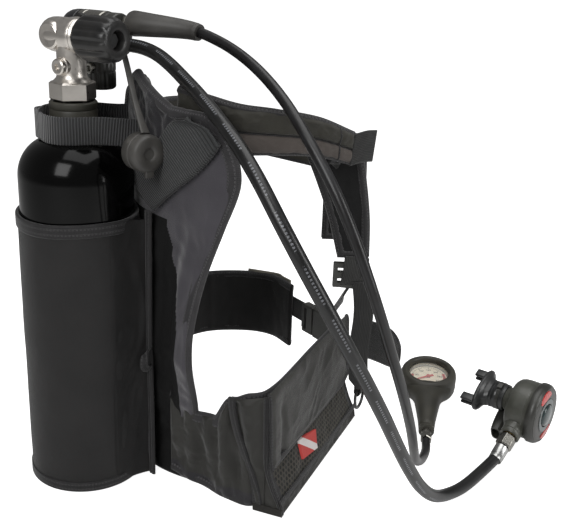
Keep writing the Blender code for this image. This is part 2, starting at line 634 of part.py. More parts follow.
def make_gauge():
    """Pressure gauge in a rubber boot, on a swivel at the hose's end."""
    boot = lathe("gauge_boot", [(0.0, -0.0165), (0.0300, -0.0165), (0.0345, -0.0120), (0.0350, 0.0080),
                                (0.0325, 0.0140), (0.0300, 0.0155), (0.0, 0.0155)], "black_rubber", GAUGE, 24)
    neck = along_y(GAUGE, 0.0, STEM_Z)
    taper = [(0.0, -0.1060), (0.0090, -0.1060), (0.0100, -0.0900), (0.0140, -0.0620), (0.0155, -0.0400),
             (0.0155, -0.0200), (0.0, -0.0200)]
    add(boot, lathe("boot_neck", taper, "black_rubber", neck, 20))
    cut(boot, rod("boot_cavity", 0.0267, -0.0110, 0.0090, GAUGE, 24))
    cut(boot, rod("boot_window", 0.0248, 0.0050, 0.0200, GAUGE, 24))
    cut(boot, rod("boot_bore", 0.0067, -0.1100, -0.0200, neck, 14))
    case = lathe("gauge_case", [(0.0, -0.0105), (0.0262, -0.0105), (0.0262, 0.0086), (0.0241, 0.0086),
                                (0.0241, -0.0060), (0.0, -0.0060)], "spring_steel", GAUGE, 24)
    add(case, rod("case_stem", 0.0060, -0.1060, -0.0240, neck, 16))
    ring_shape("gauge_dial", 0.0014, 0.0235, 0.0028, 0.0036, "dial_face", GAUGE, 24)
    needle = prism("gauge_needle", [(-0.0016, -0.0070), (0.0016, -0.0070), (0.0014, 0.0010), (0.0003, 0.0190),
                                    (-0.0003, 0.0190), (-0.0014, 0.0010)], 0.0008, "needle_red",
                   GAUGE @ Matrix.Rotation(math.radians(120), 4, "Z") @ Matrix.Translation((0, 0, 0.0044)))
    add(needle, rod("needle_hub", 0.0026, 0.0042, 0.0060, GAUGE, 16))
    add(needle, rod("needle_pin", 0.0010, -0.0030, 0.0050, GAUGE, 12))
    rod("gauge_lens", 0.0235, 0.0066, 0.0084, GAUGE, 24, "lens_clear")
    rod("gauge_swivel", 0.0072, -GAUGE_STEM, -0.1063, neck, 6)


def panel_rows():
    """Back panel from its right free edge to its left one, bottom to top."""
    seam = (0.0605, 0.0)
    levels = [
        (0.000, 0.098, 0.074), (0.060, 0.100, 0.078), (0.125, 0.092, 0.082), (0.150, 0.074, 0.118),
        (0.180, 0.078, 0.108), (0.210, 0.082, 0.108), (0.250, 0.090, 0.114), (0.300, 0.103, 0.130),
        (0.340, 0.115, 0.147), (0.360, 0.113, 0.148), (0.385, 0.104, 0.138), (PANEL_TOP, 0.092, 0.118),
    ]
    shares = [0.0, 0.22, 0.45, 0.72, 1.0]
    rows = []
    for z, edge_x, edge_y in levels:
        half = []
        for share in shares:
            bow = share ** 2.0
            dip = TOP_DIP * min(1.0, share / 0.6) if z == PANEL_TOP else 0.0
            half.append(Vector((seam[0] + (edge_x - seam[0]) * bow, edge_y * share, z - dip)))
        mirrored = [Vector((p.x, -p.y, p.z)) for p in half[:0:-1]]
        rows.append(mirrored + half)
    return rows


def make_harness():
    """Pouch, back panel, straps, waist band, pocket and hardware."""
    pouch = [(0.0, 0.0), (0.0560, 0.0), (POUCH_OUT_R, 0.0040), (POUCH_OUT_R, POUCH_RIM), (POUCH_IN_R, POUCH_RIM),
             (POUCH_IN_R, POUCH_FLOOR), (0.0, POUCH_FLOOR)]
    lathe("cylinder_pouch", pouch, "nylon", steps=32)
    sheet("back_panel", panel_rows(), -PANEL_T, "nylon")

    loop_r = 0.0345
    arc = [(-loop_r * math.cos(math.radians(a)), -loop_r * math.sin(math.radians(a))) for a in range(-90, 91, 30)]
    route = [(0.0595, loop_r), (0.030, loop_r)] + arc + [(0.030, -loop_r), (0.0595, -loop_r)]
    band("neck_strap", route, 0.3640, 0.3900, WEB_T, "webbing", 28)

    ribbon("shoulder_strap_right", [(0.1010, -0.0960, 0.3870), (0.1200, -0.1270, 0.3880), (0.1500, -0.1440, 0.3880),
                                    (0.1900, -0.1500, 0.3830), (0.2280, -0.1470, 0.3700)],
           0.052, (0, -0.08, 1), -0.010, "nylon", end_width=0.030)
    ribbon("chest_pad_right", [(0.2150, -0.1255, 0.3700), (0.2270, -0.1270, 0.3320), (0.2370, -0.1275, 0.2950),
                               (0.2440, -0.1270, 0.2560)], 0.054, (0.92, -0.39, 0), -0.010, "nylon", end_width=0.030)
    ribbon("shoulder_strap_left", [(0.1010, 0.0960, 0.3500), (0.1230, 0.1280, 0.3500), (0.1600, 0.1380, 0.3470),
                                   (0.2200, 0.1130, 0.3380), (0.2900, 0.0650, 0.3260)],
           0.050, (0, 0.08, 1), 0.010, "nylon")
    ribbon("chest_pad_left", [(0.3120, 0.0420, 0.3420), (0.3140, 0.0400, 0.3000), (0.3150, 0.0400, 0.2500),
                              (0.3150, 0.0400, 0.2150)], 0.048, (0.92, -0.39, 0), -0.010, "nylon")
    across = Vector((0.92, -0.39, 0.0)).normalized()
    frame = basis((0.2440, -0.1240, 0.2380), across, UP.cross(across), UP)
    lock = box("strap_lock", (-0.0180, -0.0030, -0.0130), (0.0180, 0.0030, 0.0130), "black_plastic", frame, 0.001)
    for z_slot in (-0.0055, 0.0055):
        cut(lock, box("slot", (-0.0135, -0.0060, z_slot - 0.0022), (0.0135, 0.0060, z_slot + 0.0022),
                      "black_plastic", frame))
    ribbon("chest_webbing_right", [(0.2470, -0.1160, 0.2220), (0.2640, -0.0720, 0.1960), (0.2820, -0.0250, 0.1660),
                                   (0.2960, 0.0060, 0.1420)], WEB_W, (0.45, -0.2, 0.9), WEB_T, "webbing")
    ribbon("strap_tail", [(0.2520, -0.1330, 0.2330), (0.2540, -0.1350, 0.1900), (0.2550, -0.1330, 0.1500),
                          (0.2560, -0.1300, 0.1120)], 0.020, (0.92, -0.39, 0), WEB_T, "webbing")
    make_waist()


def make_waist():
    """Waist band halves, pocket with flap, ring and buckle."""
    band("waist_band_right", [(0.1030, -0.0880), (0.1180, -0.1220), (0.1400, -0.1400), (0.1700, -0.1270),
                              (0.2400, -0.0580), (0.2900, -0.0090), (0.3035, 0.0110)], 0.0, 0.130, BAND_T, "nylon", 16)
    start = FRONT_A + FRONT_U * 0.088
    bend = FRONT_A + FRONT_U * 0.130
    band("waist_band_left", [(0.1030, 0.0900), (0.1200, 0.1350), (0.1500, 0.1660), (0.1950, 0.1810),
                             (0.2450, 0.1680), (bend.x, bend.y), (start.x, start.y)], 0.055, 0.138, -BAND_T,
         "nylon", 18)
    side = heading(POCKET_AIM)
    inward = heading(POCKET_AIM + 90.0)
    frame = basis(POCKET_A, side, inward, UP)
    pocket = box("pocket", (0.0, 0.0, 0.0), (POCKET_L, POCKET_D, POCKET_H), "nylon", frame, 0.002)
    cut(pocket, box("pocket_inside", (POCKET_WALL, POCKET_WALL, POCKET_WALL),
                    (POCKET_L - POCKET_WALL, POCKET_D - POCKET_WALL, POCKET_H + 0.02), "nylon", frame))
    top = POCKET_H + 0.0010
    skin = 0.0025
    section = [(POCKET_D - 0.0005, top), (POCKET_D - 0.0005, top + skin), (-0.0032, top + skin),
               (-0.0042, top), (-0.0042, top - 0.072), (-0.0012, top - 0.072), (-0.0012, top)]
    flap_frame = frame @ Matrix(((0, 0, 1, 0), (1, 0, 0, 0), (0, 1, 0, 0), (0, 0, 0, 1)))
    prism("pocket_flap", section, POCKET_L, "nylon", flap_frame)

    ring_frame = basis(D_RING_C, side, UP, side.cross(UP))
    d_outer = [(-0.0170, 0.0110), (0.0170, 0.0110), (0.0170, 0.0020), (0.0120, -0.0110), (0.0, -0.0155),
               (-0.0120, -0.0110), (-0.0170, 0.0020)]
    d_inner = [(x * 0.76, y * 0.74 + 0.0002) for x, y in d_outer]
    ring = prism("d_ring", d_outer, 0.0036, "spring_steel", ring_frame @ Matrix.Translation((0, 0, -0.0018)))
    cut(ring, prism("d_hole", d_inner, 0.0100, "spring_steel", ring_frame @ Matrix.Translation((0, 0, -0.005))))
    loop_c = D_RING_C + UP * D_RING_BAR
    loop_frame = basis(loop_c, inward, UP, side)
    loop = box("d_ring_loop", (-0.0042, -0.0058, -0.0105), (0.0042, 0.0160, 0.0105), "webbing", loop_frame, 0.0008)
    add(loop, box("loop_tab", (-0.0038, 0.0060, -0.0190), (0.0038, 0.0155, -0.0050), "webbing", loop_frame))
    cut(loop, box("loop_hole", (-0.0024, -0.0025, -0.0200), (0.0024, 0.0045, 0.0200), "webbing", loop_frame))

    buckle = basis(FRONT_A + UP * BUCKLE_Z, FRONT_U, UP, FRONT_U.cross(UP))
    socket = box("buckle_socket", (0.0060, -0.0190, -0.0060), (0.0420, 0.0190, 0.0060), "black_plastic", buckle,
                 0.0020)
    cut(socket, box("socket_inside", (0.0120, -0.0150, -0.0036), (0.0500, 0.0150, 0.0036), "black_plastic", buckle))
    tongue = box("buckle_tongue", (0.0424, -0.0185, -0.0055), (0.0640, 0.0185, 0.0055), "black_plastic", buckle,
                 0.0018)
    for side_y in (-0.0115, 0.0, 0.0115):
        add(tongue, box("prong", (0.0200, side_y - 0.0020, -0.0025), (0.0500, side_y + 0.0020, 0.0025),
                        "black_plastic", buckle))
    cut(tongue, box("tongue_slot", (0.0545, -0.0140, -0.0100), (0.0597, 0.0140, 0.0100), "black_plastic", buckle))
    ribbon("waist_band_end", [(0.3200, 0.0080, 0.1040), (0.3340, -0.0080, 0.1030), (0.3475, -0.0295, 0.1010),
                              (0.3535, -0.0500, 0.0990)], 0.050, UP, -0.0030, "nylon", 8)


def pivot(name, frame, *pieces):
    """Parent the pieces of a moving group to an empty on their joint's axis, without moving them."""
    empty = bpy.data.objects.new(name, None)
    empty.empty_display_size = 0.02
    empty.matrix_world = frame
    bpy.context.scene.collection.objects.link(empty)
    for piece in pieces:
        obj = bpy.data.objects[piece]
        obj.parent = empty
        obj.matrix_parent_inverse = frame.inverted()


def set_pivots():
    """Put an empty on each joint; Z is the joint's axis."""
    pivot("pivot_handwheel", along_x(VALVE), "valve_handwheel", "handwheel_screw", "valve_spindle")
    pivot("pivot_connector_wheel", along_y(VALVE, OUTLET_X), "connector_handwheel")
    pivot("pivot_piston", along_x(VALVE, STAGE_Y), "piston")
    pivot("pivot_dust_cap", along_x(VALVE, *LP_PORT), "dust_cap_strap", "dust_cap")
    inlet = along_x(DEMAND, 0.0, INLET_Z)
    pivot("pivot_second_stage", inlet, "second_stage_case", "second_stage_cover", "air_barrel", "exhaust_valve",
          "exhaust_tee", "mouthpiece", "mouthpiece_tie")
    pivot("slide_purge", DEMAND, "purge_button", "diaphragm")
    pivot("slide_poppet", inlet, "poppet")
    pivot("pivot_lever", along_y(DEMAND, LEVER_PIVOT_X), "demand_lever")
    pivot("pivot_gauge", along_y(GAUGE, 0.0, STEM_Z), "gauge_boot", "gauge_case", "gauge_dial", "gauge_lens")
    pivot("pivot_needle", GAUGE, "gauge_needle")
    ring_bar = D_RING_C + UP * D_RING_BAR
    side = heading(POCKET_AIM)
    inward = heading(POCKET_AIM + 90.0)
    pivot("pivot_d_ring", basis(ring_bar, inward, UP, side), "d_ring")
    flap_line = POCKET_A + inward * POCKET_D + UP * (POCKET_H + 0.001)
    pivot("pivot_flap", basis(flap_line, inward, UP, side), "pocket_flap")
    pivot("slide_buckle", basis(FRONT_A + UP * BUCKLE_Z, UP, FRONT_U.cross(UP), FRONT_U), "buckle_tongue")


def build():
    """Make every piece, then its joint's pivot."""
    clear_scene()
    make_cylinder()
    make_valve()
    make_first_stage()
    make_hoses()
    make_dust_cap()
    make_second_stage()
    make_gauge()
    make_harness()
    set_pivots()


build()
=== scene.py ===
"""Looks for a compact breathing set: gas cylinder in a fabric harness, valve, regulator, hoses, gauge and pocket.

Metres, the part's own frame: origin at the middle of the cylinder's base, +Z up, +X the wearer's front, +Y their left.
"""
import math

import bmesh
import bpy
from mathutils import Matrix, Vector, noise


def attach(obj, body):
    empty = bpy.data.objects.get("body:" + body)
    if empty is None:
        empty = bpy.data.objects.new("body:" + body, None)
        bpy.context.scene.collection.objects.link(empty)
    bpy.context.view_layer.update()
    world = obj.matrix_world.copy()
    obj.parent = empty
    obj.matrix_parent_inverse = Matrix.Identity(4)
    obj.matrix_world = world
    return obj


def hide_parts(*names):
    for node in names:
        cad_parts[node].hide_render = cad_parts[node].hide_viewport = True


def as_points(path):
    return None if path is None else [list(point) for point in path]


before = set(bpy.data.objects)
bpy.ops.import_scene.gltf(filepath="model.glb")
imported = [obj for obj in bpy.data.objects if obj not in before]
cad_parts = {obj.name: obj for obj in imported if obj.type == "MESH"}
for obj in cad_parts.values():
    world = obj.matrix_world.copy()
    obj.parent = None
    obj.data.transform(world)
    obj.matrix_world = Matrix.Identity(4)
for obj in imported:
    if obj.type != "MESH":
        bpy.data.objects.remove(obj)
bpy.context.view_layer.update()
UP = Vector((0.0, 0.0, 1.0))
TAU = 2.0 * math.pi
WEAVE_PITCH = 0.0009
WEAVE_DEPTH = 0.00012
WEB_RIB = 0.0016
WEB_ROUGH = 0.66


# ---------------------------------------------------------------- camera, light and floor

def make_camera():
    """Camera at the right side, a little behind and above."""
    right = Vector((0.9178, -0.3971, 0.0))
    ahead = Vector((0.3736, 0.8635, -0.3389)).normalized()
    up = right.cross(ahead).normalized()
    roll = math.radians(2.33)
    x_axis = right * math.cos(roll) + up * math.sin(roll)
    y_axis = up * math.cos(roll) - right * math.sin(roll)
    data = bpy.data.cameras.new("camera")
    data.lens = 56.06
    data.sensor_width = 36.0
    data.sensor_fit = "HORIZONTAL"
    data.clip_start = 0.05
    cam = bpy.data.objects.new("camera", data)
    bpy.context.scene.collection.objects.link(cam)
    turn = Matrix((x_axis, y_axis, -ahead)).transposed().to_4x4()
    cam.matrix_world = Matrix.Translation((-0.1454, -0.8680, 0.5499)) @ turn
    bpy.context.scene.camera = cam


def area_light(name, spot, target, size, power):
    data = bpy.data.lights.new(name, "AREA")
    data.shape = "RECTANGLE"
    data.size, data.size_y = size
    data.energy = power
    lamp = bpy.data.objects.new(name, data)
    bpy.context.scene.collection.objects.link(lamp)
    lamp.location = spot
    lamp.rotation_euler = (Vector(target) - Vector(spot)).to_track_quat("-Z", "Y").to_euler()


def seen_or_not(nt, seen, unseen):
    """A value that is higher for what the view shows directly than for the light it gives."""
    path = nt.nodes.new("ShaderNodeLightPath")
    reach = nt.nodes.new("ShaderNodeMapRange")
    reach.inputs["To Min"].default_value = unseen
    reach.inputs["To Max"].default_value = seen
    nt.links.new(path.outputs["Is Camera Ray"], reach.inputs["Value"])
    return reach.outputs["Result"]


def make_stage():
    """Pale floor, pale surround and soft boxes."""
    world = bpy.data.worlds.new("surround")
    world.use_nodes = True
    back = world.node_tree.nodes["Background"]
    back.inputs["Color"].default_value = (1.0, 1.0, 1.0, 1.0)
    world.node_tree.links.new(seen_or_not(world.node_tree, 1.15, 0.20), back.inputs["Strength"])
    bpy.context.scene.world = world
    bpy.context.scene.view_settings.view_transform = "Standard"
    bm = bmesh.new()
    bmesh.ops.create_grid(bm, x_segments=1, y_segments=1, size=6.0)
    mesh = bpy.data.meshes.new("floor")
    bm.to_mesh(mesh)
    bm.free()
    floor = bpy.data.objects.new("floor", mesh)
    floor.location = (0.0, 0.0, -0.0006)
    bpy.context.scene.collection.objects.link(floor)
    look = bpy.data.materials.new("pale_floor")
    look.use_nodes = True
    nodes = look.node_tree.nodes
    shader = nodes["Principled BSDF"]
    shader.inputs["Roughness"].default_value = 0.6
    grain = nodes.new("ShaderNodeTexNoise")
    grain.inputs["Scale"].default_value = 3.0
    ramp = nodes.new("ShaderNodeValToRGB")
    ramp.color_ramp.elements[0].color = (0.93, 0.93, 0.925, 1.0)
    ramp.color_ramp.elements[1].color = (0.96, 0.96, 0.955, 1.0)
    look.node_tree.links.new(grain.outputs["Fac"], ramp.inputs["Fac"])
    look.node_tree.links.new(ramp.outputs["Color"], shader.inputs["Base Color"])
    shader.inputs["Emission Color"].default_value = (1.0, 1.0, 1.0, 1.0)
    look.node_tree.links.new(seen_or_not(look.node_tree, 0.90, 0.0), shader.inputs["Emission Strength"])
    mesh.materials.append(look)
    area_light("key", (-1.1, -1.3, 1.5), (0.1, 0.0, 0.2), (0.9, 1.2), 20.0)
    area_light("top", (0.3, -0.1, 1.7), (0.15, 0.0, 0.1), (1.6, 1.2), 13.0)
    area_light("side", (1.3, -1.1, 0.8), (0.2, 0.0, 0.2), (0.5, 1.2), 9.0)


make_camera()
make_stage()


# ---------------------------------------------------------------- materials

def principled(name, colour, rough, metal=0.0, **more):
    """Start a material; more holds further socket values by name, with _ for a space."""
    mat = bpy.data.materials.new(name)
    mat.use_nodes = True
    shader = mat.node_tree.nodes["Principled BSDF"]
    shader.inputs["Base Color"].default_value = (*colour, 1.0)
    shader.inputs["Roughness"].default_value = rough
    shader.inputs["Metallic"].default_value = metal
    for key, value in more.items():
        shader.inputs[key.replace("_", " ")].default_value = value
    return mat


def math_node(nt, operation, a, b=None):
    node = nt.nodes.new("ShaderNodeMath")
    node.operation = operation
    for slot, value in zip(node.inputs, (a, b)):
        if value is None:
            continue
        if isinstance(value, (int, float)):
            slot.default_value = value
        else:
            nt.links.new(value, slot)
    return node.outputs[0]


def noise_node(nt, scale, detail=3.0, stretch=(1.0, 1.0, 1.0)):
    """Noise in the object's own metres."""
    node = nt.nodes.new("ShaderNodeTexNoise")
    node.inputs["Scale"].default_value = scale
    node.inputs["Detail"].default_value = detail
    own = nt.nodes.new("ShaderNodeTexCoord").outputs["Object"]
    mapping = nt.nodes.new("ShaderNodeMapping")
    mapping.inputs["Scale"].default_value = stretch
    nt.links.new(own, mapping.inputs["Vector"])
    nt.links.new(mapping.outputs["Vector"], node.inputs["Vector"])
    return node.outputs["Fac"]


def ramp_node(nt, fac, stops):
    """Colour ramp; stops are (position, colour)."""
    node = nt.nodes.new("ShaderNodeValToRGB")
    while len(node.color_ramp.elements) < len(stops):
        node.color_ramp.elements.new(0.5)
    for element, (position, colour) in zip(node.color_ramp.elements, stops):
        element.position = position
        element.color = (*colour, 1.0)
    nt.links.new(fac, node.inputs["Fac"])
    return node.outputs["Color"]


def spread(nt, fac, low, high):
    """Map 0..1 onto low..high."""
    node = nt.nodes.new("ShaderNodeMapRange")
    node.inputs["To Min"].default_value = low
    node.inputs["To Max"].default_value = high
    nt.links.new(fac, node.inputs["Value"])
    return node.outputs["Result"]


def bump(mat, *heights):
    """Chain bumps; each is (height socket, distance in metres, strength)."""
    nt = mat.node_tree
    shader = nt.nodes["Principled BSDF"]
    last = None
    for height, distance, strength in heights:
        node = nt.nodes.new("ShaderNodeBump")
        node.inputs["Distance"].default_value = distance
        node.inputs["Strength"].default_value = strength
        nt.links.new(height, node.inputs["Height"])
        if last is not None:
            nt.links.new(last, node.inputs["Normal"])
        last = node.outputs["Normal"]
    nt.links.new(last, shader.inputs["Normal"])


def link(mat, socket, name):
    mat.node_tree.links.new(socket, mat.node_tree.nodes["Principled BSDF"].inputs[name])


def uv_axes(nt):
    """The U and V sockets, in metres along and across a piece."""
    node = nt.nodes.new("ShaderNodeUVMap")
    node.uv_map = "metres"
    split = nt.nodes.new("ShaderNodeSeparateXYZ")
    nt.links.new(node.outputs["UV"], split.inputs["Vector"])
    return split.outputs["X"], split.outputs["Y"]


def half_sine(nt, axis, pitch):
    turned = math_node(nt, "MULTIPLY", axis, TAU / pitch)
    sine = math_node(nt, "SINE", turned)
    half = math_node(nt, "MULTIPLY", sine, 0.5)
    return math_node(nt, "ADD", half, 0.5)


def weave(nt, u, v, pitch):
    """Plain weave height from two crossed sines."""
    a = half_sine(nt, u, pitch)
    b = half_sine(nt, v, pitch)
    return math_node(nt, "ADD", math_node(nt, "MULTIPLY", a, b),
                     math_node(nt, "MULTIPLY", math_node(nt, "SUBTRACT", 1.0, a), math_node(nt, "SUBTRACT", 1.0, b)))


def fabric(name, dark, light, rough=0.72, crease=0.0012, sheen=0.25):
    """Woven nylon: fine weave, soft creases, slight colour change and a soft sheen."""
    mat = principled(name, dark, rough, Sheen_Weight=sheen, Sheen_Roughness=0.45, Specular_IOR_Level=0.35)
    nt = mat.node_tree
    u, v = uv_axes(nt)
    cloud = noise_node(nt, 22.0, 5.0)
    fine = noise_node(nt, 700.0, 2.0)
    threads = weave(nt, u, v, WEAVE_PITCH)
    tone = math_node(nt, "ADD", math_node(nt, "MULTIPLY", cloud, 0.7), math_node(nt, "MULTIPLY", threads, 0.3))
    link(mat, ramp_node(nt, tone, ((0.30, dark), (0.75, light))), "Base Color")
    link(mat, spread(nt, fine, rough - 0.08, rough + 0.10), "Roughness")
    folds = noise_node(nt, 26.0, 4.0)
    bump(mat, (folds, crease, 0.6), (threads, WEAVE_DEPTH, 0.7), (fine, 0.00010, 0.5))
    return mat


def webbing(name, dark, light):
    """Narrow woven strap: ribs along its length, crossing threads, slight fading."""
    mat = principled(name, dark, WEB_ROUGH, Sheen_Weight=0.3, Sheen_Roughness=0.4, Specular_IOR_Level=0.35)
    nt = mat.node_tree
    u, v = uv_axes(nt)
    ribs = half_sine(nt, v, WEB_RIB)
    cross = half_sine(nt, u, WEB_RIB * 0.6)
    height = math_node(nt, "ADD", ribs, math_node(nt, "MULTIPLY", cross, 0.45))
    cloud = noise_node(nt, 60.0, 4.0)
    tone = math_node(nt, "ADD", math_node(nt, "MULTIPLY", cloud, 0.6), math_node(nt, "MULTIPLY", ribs, 0.4))
    link(mat, ramp_node(nt, tone, ((0.25, dark), (0.80, light))), "Base Color")
    bump(mat, (height, 0.00035, 0.8), (noise_node(nt, 900.0), 0.0001, 0.4))
    return mat


def binding(name, dark, light, width):
    """Edge tape with two rows of stitches and a grosgrain rib."""
    mat = principled(name, dark, 0.68, Sheen_Weight=0.3, Sheen_Roughness=0.4, Specular_IOR_Level=0.35)
    nt = mat.node_tree
    u, v = uv_axes(nt)
    ribs = half_sine(nt, u, 0.0015)
    dash = math_node(nt, "GREATER_THAN", half_sine(nt, u, 0.0034), 0.42)
    off = math_node(nt, "ABSOLUTE", math_node(nt, "SUBTRACT", math_node(nt, "ABSOLUTE", v), width * 0.27))
    row = math_node(nt, "LESS_THAN", off, 0.00055)
    stitch = math_node(nt, "MULTIPLY", dash, row)
    groove = math_node(nt, "LESS_THAN", off, 0.0009)
    cloud = noise_node(nt, 90.0, 4.0)
    tone = math_node(nt, "ADD", math_node(nt, "MULTIPLY", cloud, 0.6), math_node(nt, "MULTIPLY", ribs, 0.3))
    base = ramp_node(nt, tone, ((0.25, dark), (0.80, light)))
    mix = nt.nodes.new("ShaderNodeMix")
    mix.data_type = "RGBA"
    nt.links.new(stitch, mix.inputs["Factor"])
    nt.links.new(base, mix.inputs["A"])
    mix.inputs["B"].default_value = (light[0] * 1.5, light[1] * 1.5, light[2] * 1.5, 1.0)
    link(mat, mix.outputs["Result"], "Base Color")
    height = math_node(nt, "SUBTRACT", math_node(nt, "MULTIPLY", ribs, 0.25), groove)
    height = math_node(nt, "ADD", height, math_node(nt, "MULTIPLY", stitch, 1.1))
    bump(mat, (height, 0.0005, 0.9), (noise_node(nt, 900.0), 0.0001, 0.4))
    return mat


def rubber(name, dark, light, rough=0.45, coat=0.0, scale=500.0):
    """Moulded rubber: fine grain, dull and polished patches."""
    mat = principled(name, dark, rough, Coat_Weight=coat, Coat_Roughness=0.15)
    nt = mat.node_tree
    cloud = noise_node(nt, 45.0, 6.0)
    fine = noise_node(nt, scale, 3.0)
    link(mat, ramp_node(nt, cloud, ((0.35, dark), (0.70, light))), "Base Color")
    link(mat, spread(nt, cloud, rough - 0.10, rough + 0.12), "Roughness")
    bump(mat, (fine, 0.00012, 0.5), (noise_node(nt, 80.0), 0.0003, 0.3))
    return mat


def chromed(name, colour, rough, brush=(1.0, 1.0, 1.0)):
    """Plated metal with faint scratches and uneven polish."""
    mat = principled(name, colour, rough, 1.0)
    nt = mat.node_tree
    cloud = noise_node(nt, 30.0, 5.0)
    fine = noise_node(nt, 260.0, 6.0, stretch=brush)
    dark = tuple(c * 0.86 for c in colour)
    link(mat, ramp_node(nt, cloud, ((0.35, dark), (0.65, colour))), "Base Color")
    link(mat, spread(nt, fine, rough * 0.6, rough * 1.6), "Roughness")
    bump(mat, (fine, 0.00006, 0.35), (cloud, 0.0006, 0.15))
    return mat


PAINT = principled("gloss_paint", (0.0010, 0.0010, 0.0010), 0.10, Specular_IOR_Level=0.16, Coat_Weight=0.06,
                   Coat_Roughness=0.04)
bump(PAINT, (noise_node(PAINT.node_tree, 320.0), 0.00004, 0.25), (noise_node(PAINT.node_tree, 14.0), 0.0015, 0.12))
link(PAINT, spread(PAINT.node_tree, noise_node(PAINT.node_tree, 55.0, 6.0), 0.06, 0.22), "Roughness")
CHROME = chromed("valve_chrome", (0.72, 0.68, 0.63), 0.30)
BRIGHT = chromed("bright_chrome", (0.34, 0.33, 0.30), 0.24)
BRASS = chromed("turned_brass", (0.55, 0.40, 0.17), 0.30)
STEEL = chromed("spring_steel", (0.50, 0.50, 0.49), 0.26, (1.0, 1.0, 8.0))
RUBBER = rubber("wheel_rubber", (0.006, 0.006, 0.006), (0.022, 0.021, 0.020), 0.38, 0.08)
HOSE = rubber("hose_rubber", (0.004, 0.003, 0.003), (0.010, 0.010, 0.011), 0.34, 0.05, 900.0)
GREY_RUBBER = rubber("grey_rubber", (0.036, 0.034, 0.031), (0.066, 0.063, 0.058), 0.46)
SOFT_RUBBER = rubber("boot_rubber", (0.028, 0.027, 0.021), (0.050, 0.047, 0.036), 0.50)
SILICONE = rubber("mouth_silicone", (0.016, 0.017, 0.017), (0.034, 0.035, 0.035), 0.34, 0.2)
PLASTIC = rubber("moulded_plastic", (0.022, 0.022, 0.019), (0.040, 0.040, 0.035), 0.36, 0.1, 1200.0)
GLOSS = rubber("gloss_cap", (0.012, 0.026, 0.027), (0.020, 0.038, 0.038), 0.16, 0.35, 200.0)
RED = rubber("red_inlay", (0.42, 0.010, 0.008), (0.55, 0.020, 0.014), 0.25, 0.6, 200.0)
POUCH = fabric("pouch_nylon", (0.006, 0.0055, 0.0055), (0.014, 0.013, 0.013), 0.62, sheen=0.16)
NYLON = fabric("panel_nylon", (0.010, 0.0095, 0.011), (0.030, 0.028, 0.033), 0.64, crease=0.0020, sheen=0.28)
DARK_NYLON = fabric("pad_nylon", (0.004, 0.0038, 0.0038), (0.011, 0.010, 0.010), 0.66, sheen=0.10)
FLAP = fabric("flap_nylon", (0.012, 0.0115, 0.0095), (0.032, 0.031, 0.027), 0.52, crease=0.0007, sheen=0.22)
OLIVE = fabric("strap_nylon", (0.014, 0.013, 0.009), (0.028, 0.026, 0.019), 0.64, crease=0.0018, sheen=0.20)
PINKISH = fabric("strap_lining", (0.044, 0.036, 0.031), (0.082, 0.068, 0.060), 0.66, sheen=0.25)
WEB = webbing("strap_webbing", (0.012, 0.012, 0.011), (0.036, 0.036, 0.034))
DARK_WEB = webbing("dark_webbing", (0.008, 0.008, 0.008), (0.020, 0.020, 0.019))
TAPE = binding("edge_tape", (0.009, 0.0085, 0.009), (0.026, 0.025, 0.026), 0.010)
WIDE_TAPE = binding("wide_edge_tape", (0.018, 0.017, 0.018), (0.044, 0.042, 0.045), 0.014)
CREAM = principled("dial_cream", (0.80, 0.72, 0.56), 0.45)
link(CREAM, ramp_node(CREAM.node_tree, noise_node(CREAM.node_tree, 120.0, 5.0),
                      ((0.3, (0.78, 0.68, 0.50)), (0.7, (0.92, 0.84, 0.66)))), "Base Color")
bump(CREAM, (noise_node(CREAM.node_tree, 900.0), 0.00003, 0.3))
INK = rubber("dial_ink", (0.010, 0.010, 0.010), (0.018, 0.018, 0.018), 0.5)
DIAL_RED = rubber("dial_red", (0.50, 0.020, 0.012), (0.60, 0.035, 0.020), 0.4)
WHITE = fabric("patch_white", (0.62, 0.58, 0.56), (0.78, 0.74, 0.72), 0.55, sheen=0.1, crease=0.0003)
PATCH_RED = fabric("patch_red", (0.42, 0.035, 0.030), (0.58, 0.060, 0.050), 0.55, sheen=0.1, crease=0.0003)
BEIGE = webbing("beige_webbing", (0.17, 0.16, 0.13), (0.30, 0.28, 0.23))


def make_clear():
    """Thin clear lens: mostly see-through with a sharp reflection."""
    mat = principled("clear_lens", (0.95, 0.97, 0.98), 0.03, Alpha=0.12, Specular_IOR_Level=0.9, Coat_Weight=0.6)
    smear = noise_node(mat.node_tree, 70.0, 4.0)
    link(mat, spread(mat.node_tree, smear, 0.02, 0.14), "Roughness")
    bump(mat, (smear, 0.00003, 0.2))
    return mat


LENS = make_clear()


def make_ribbed():
    """Elastic webbing with raised cross ribs; its colour follows the ribs, tops painted lighter and grooves darker as
    painted shade, with random tone.
    """
    mat = principled("ribbed_elastic", (0.02, 0.02, 0.02), 0.62, Sheen_Weight=0.35, Sheen_Roughness=0.4)
    nt = mat.node_tree
    u, v = uv_axes(nt)
    ribs = half_sine(nt, u, 0.0027)
    threads = half_sine(nt, v, 0.0011)
    tone = math_node(nt, "ADD", math_node(nt, "MULTIPLY", ribs, 0.75),
                     math_node(nt, "MULTIPLY", noise_node(nt, 80.0, 4.0), 0.35))
    link(mat, ramp_node(nt, tone, ((0.15, (0.004, 0.004, 0.004)), (0.85, (0.046, 0.047, 0.049)))), "Base Color")
    bump(mat, (ribs, 0.0011, 0.9), (threads, 0.0002, 0.5))
    return mat


RIBBED = make_ribbed()


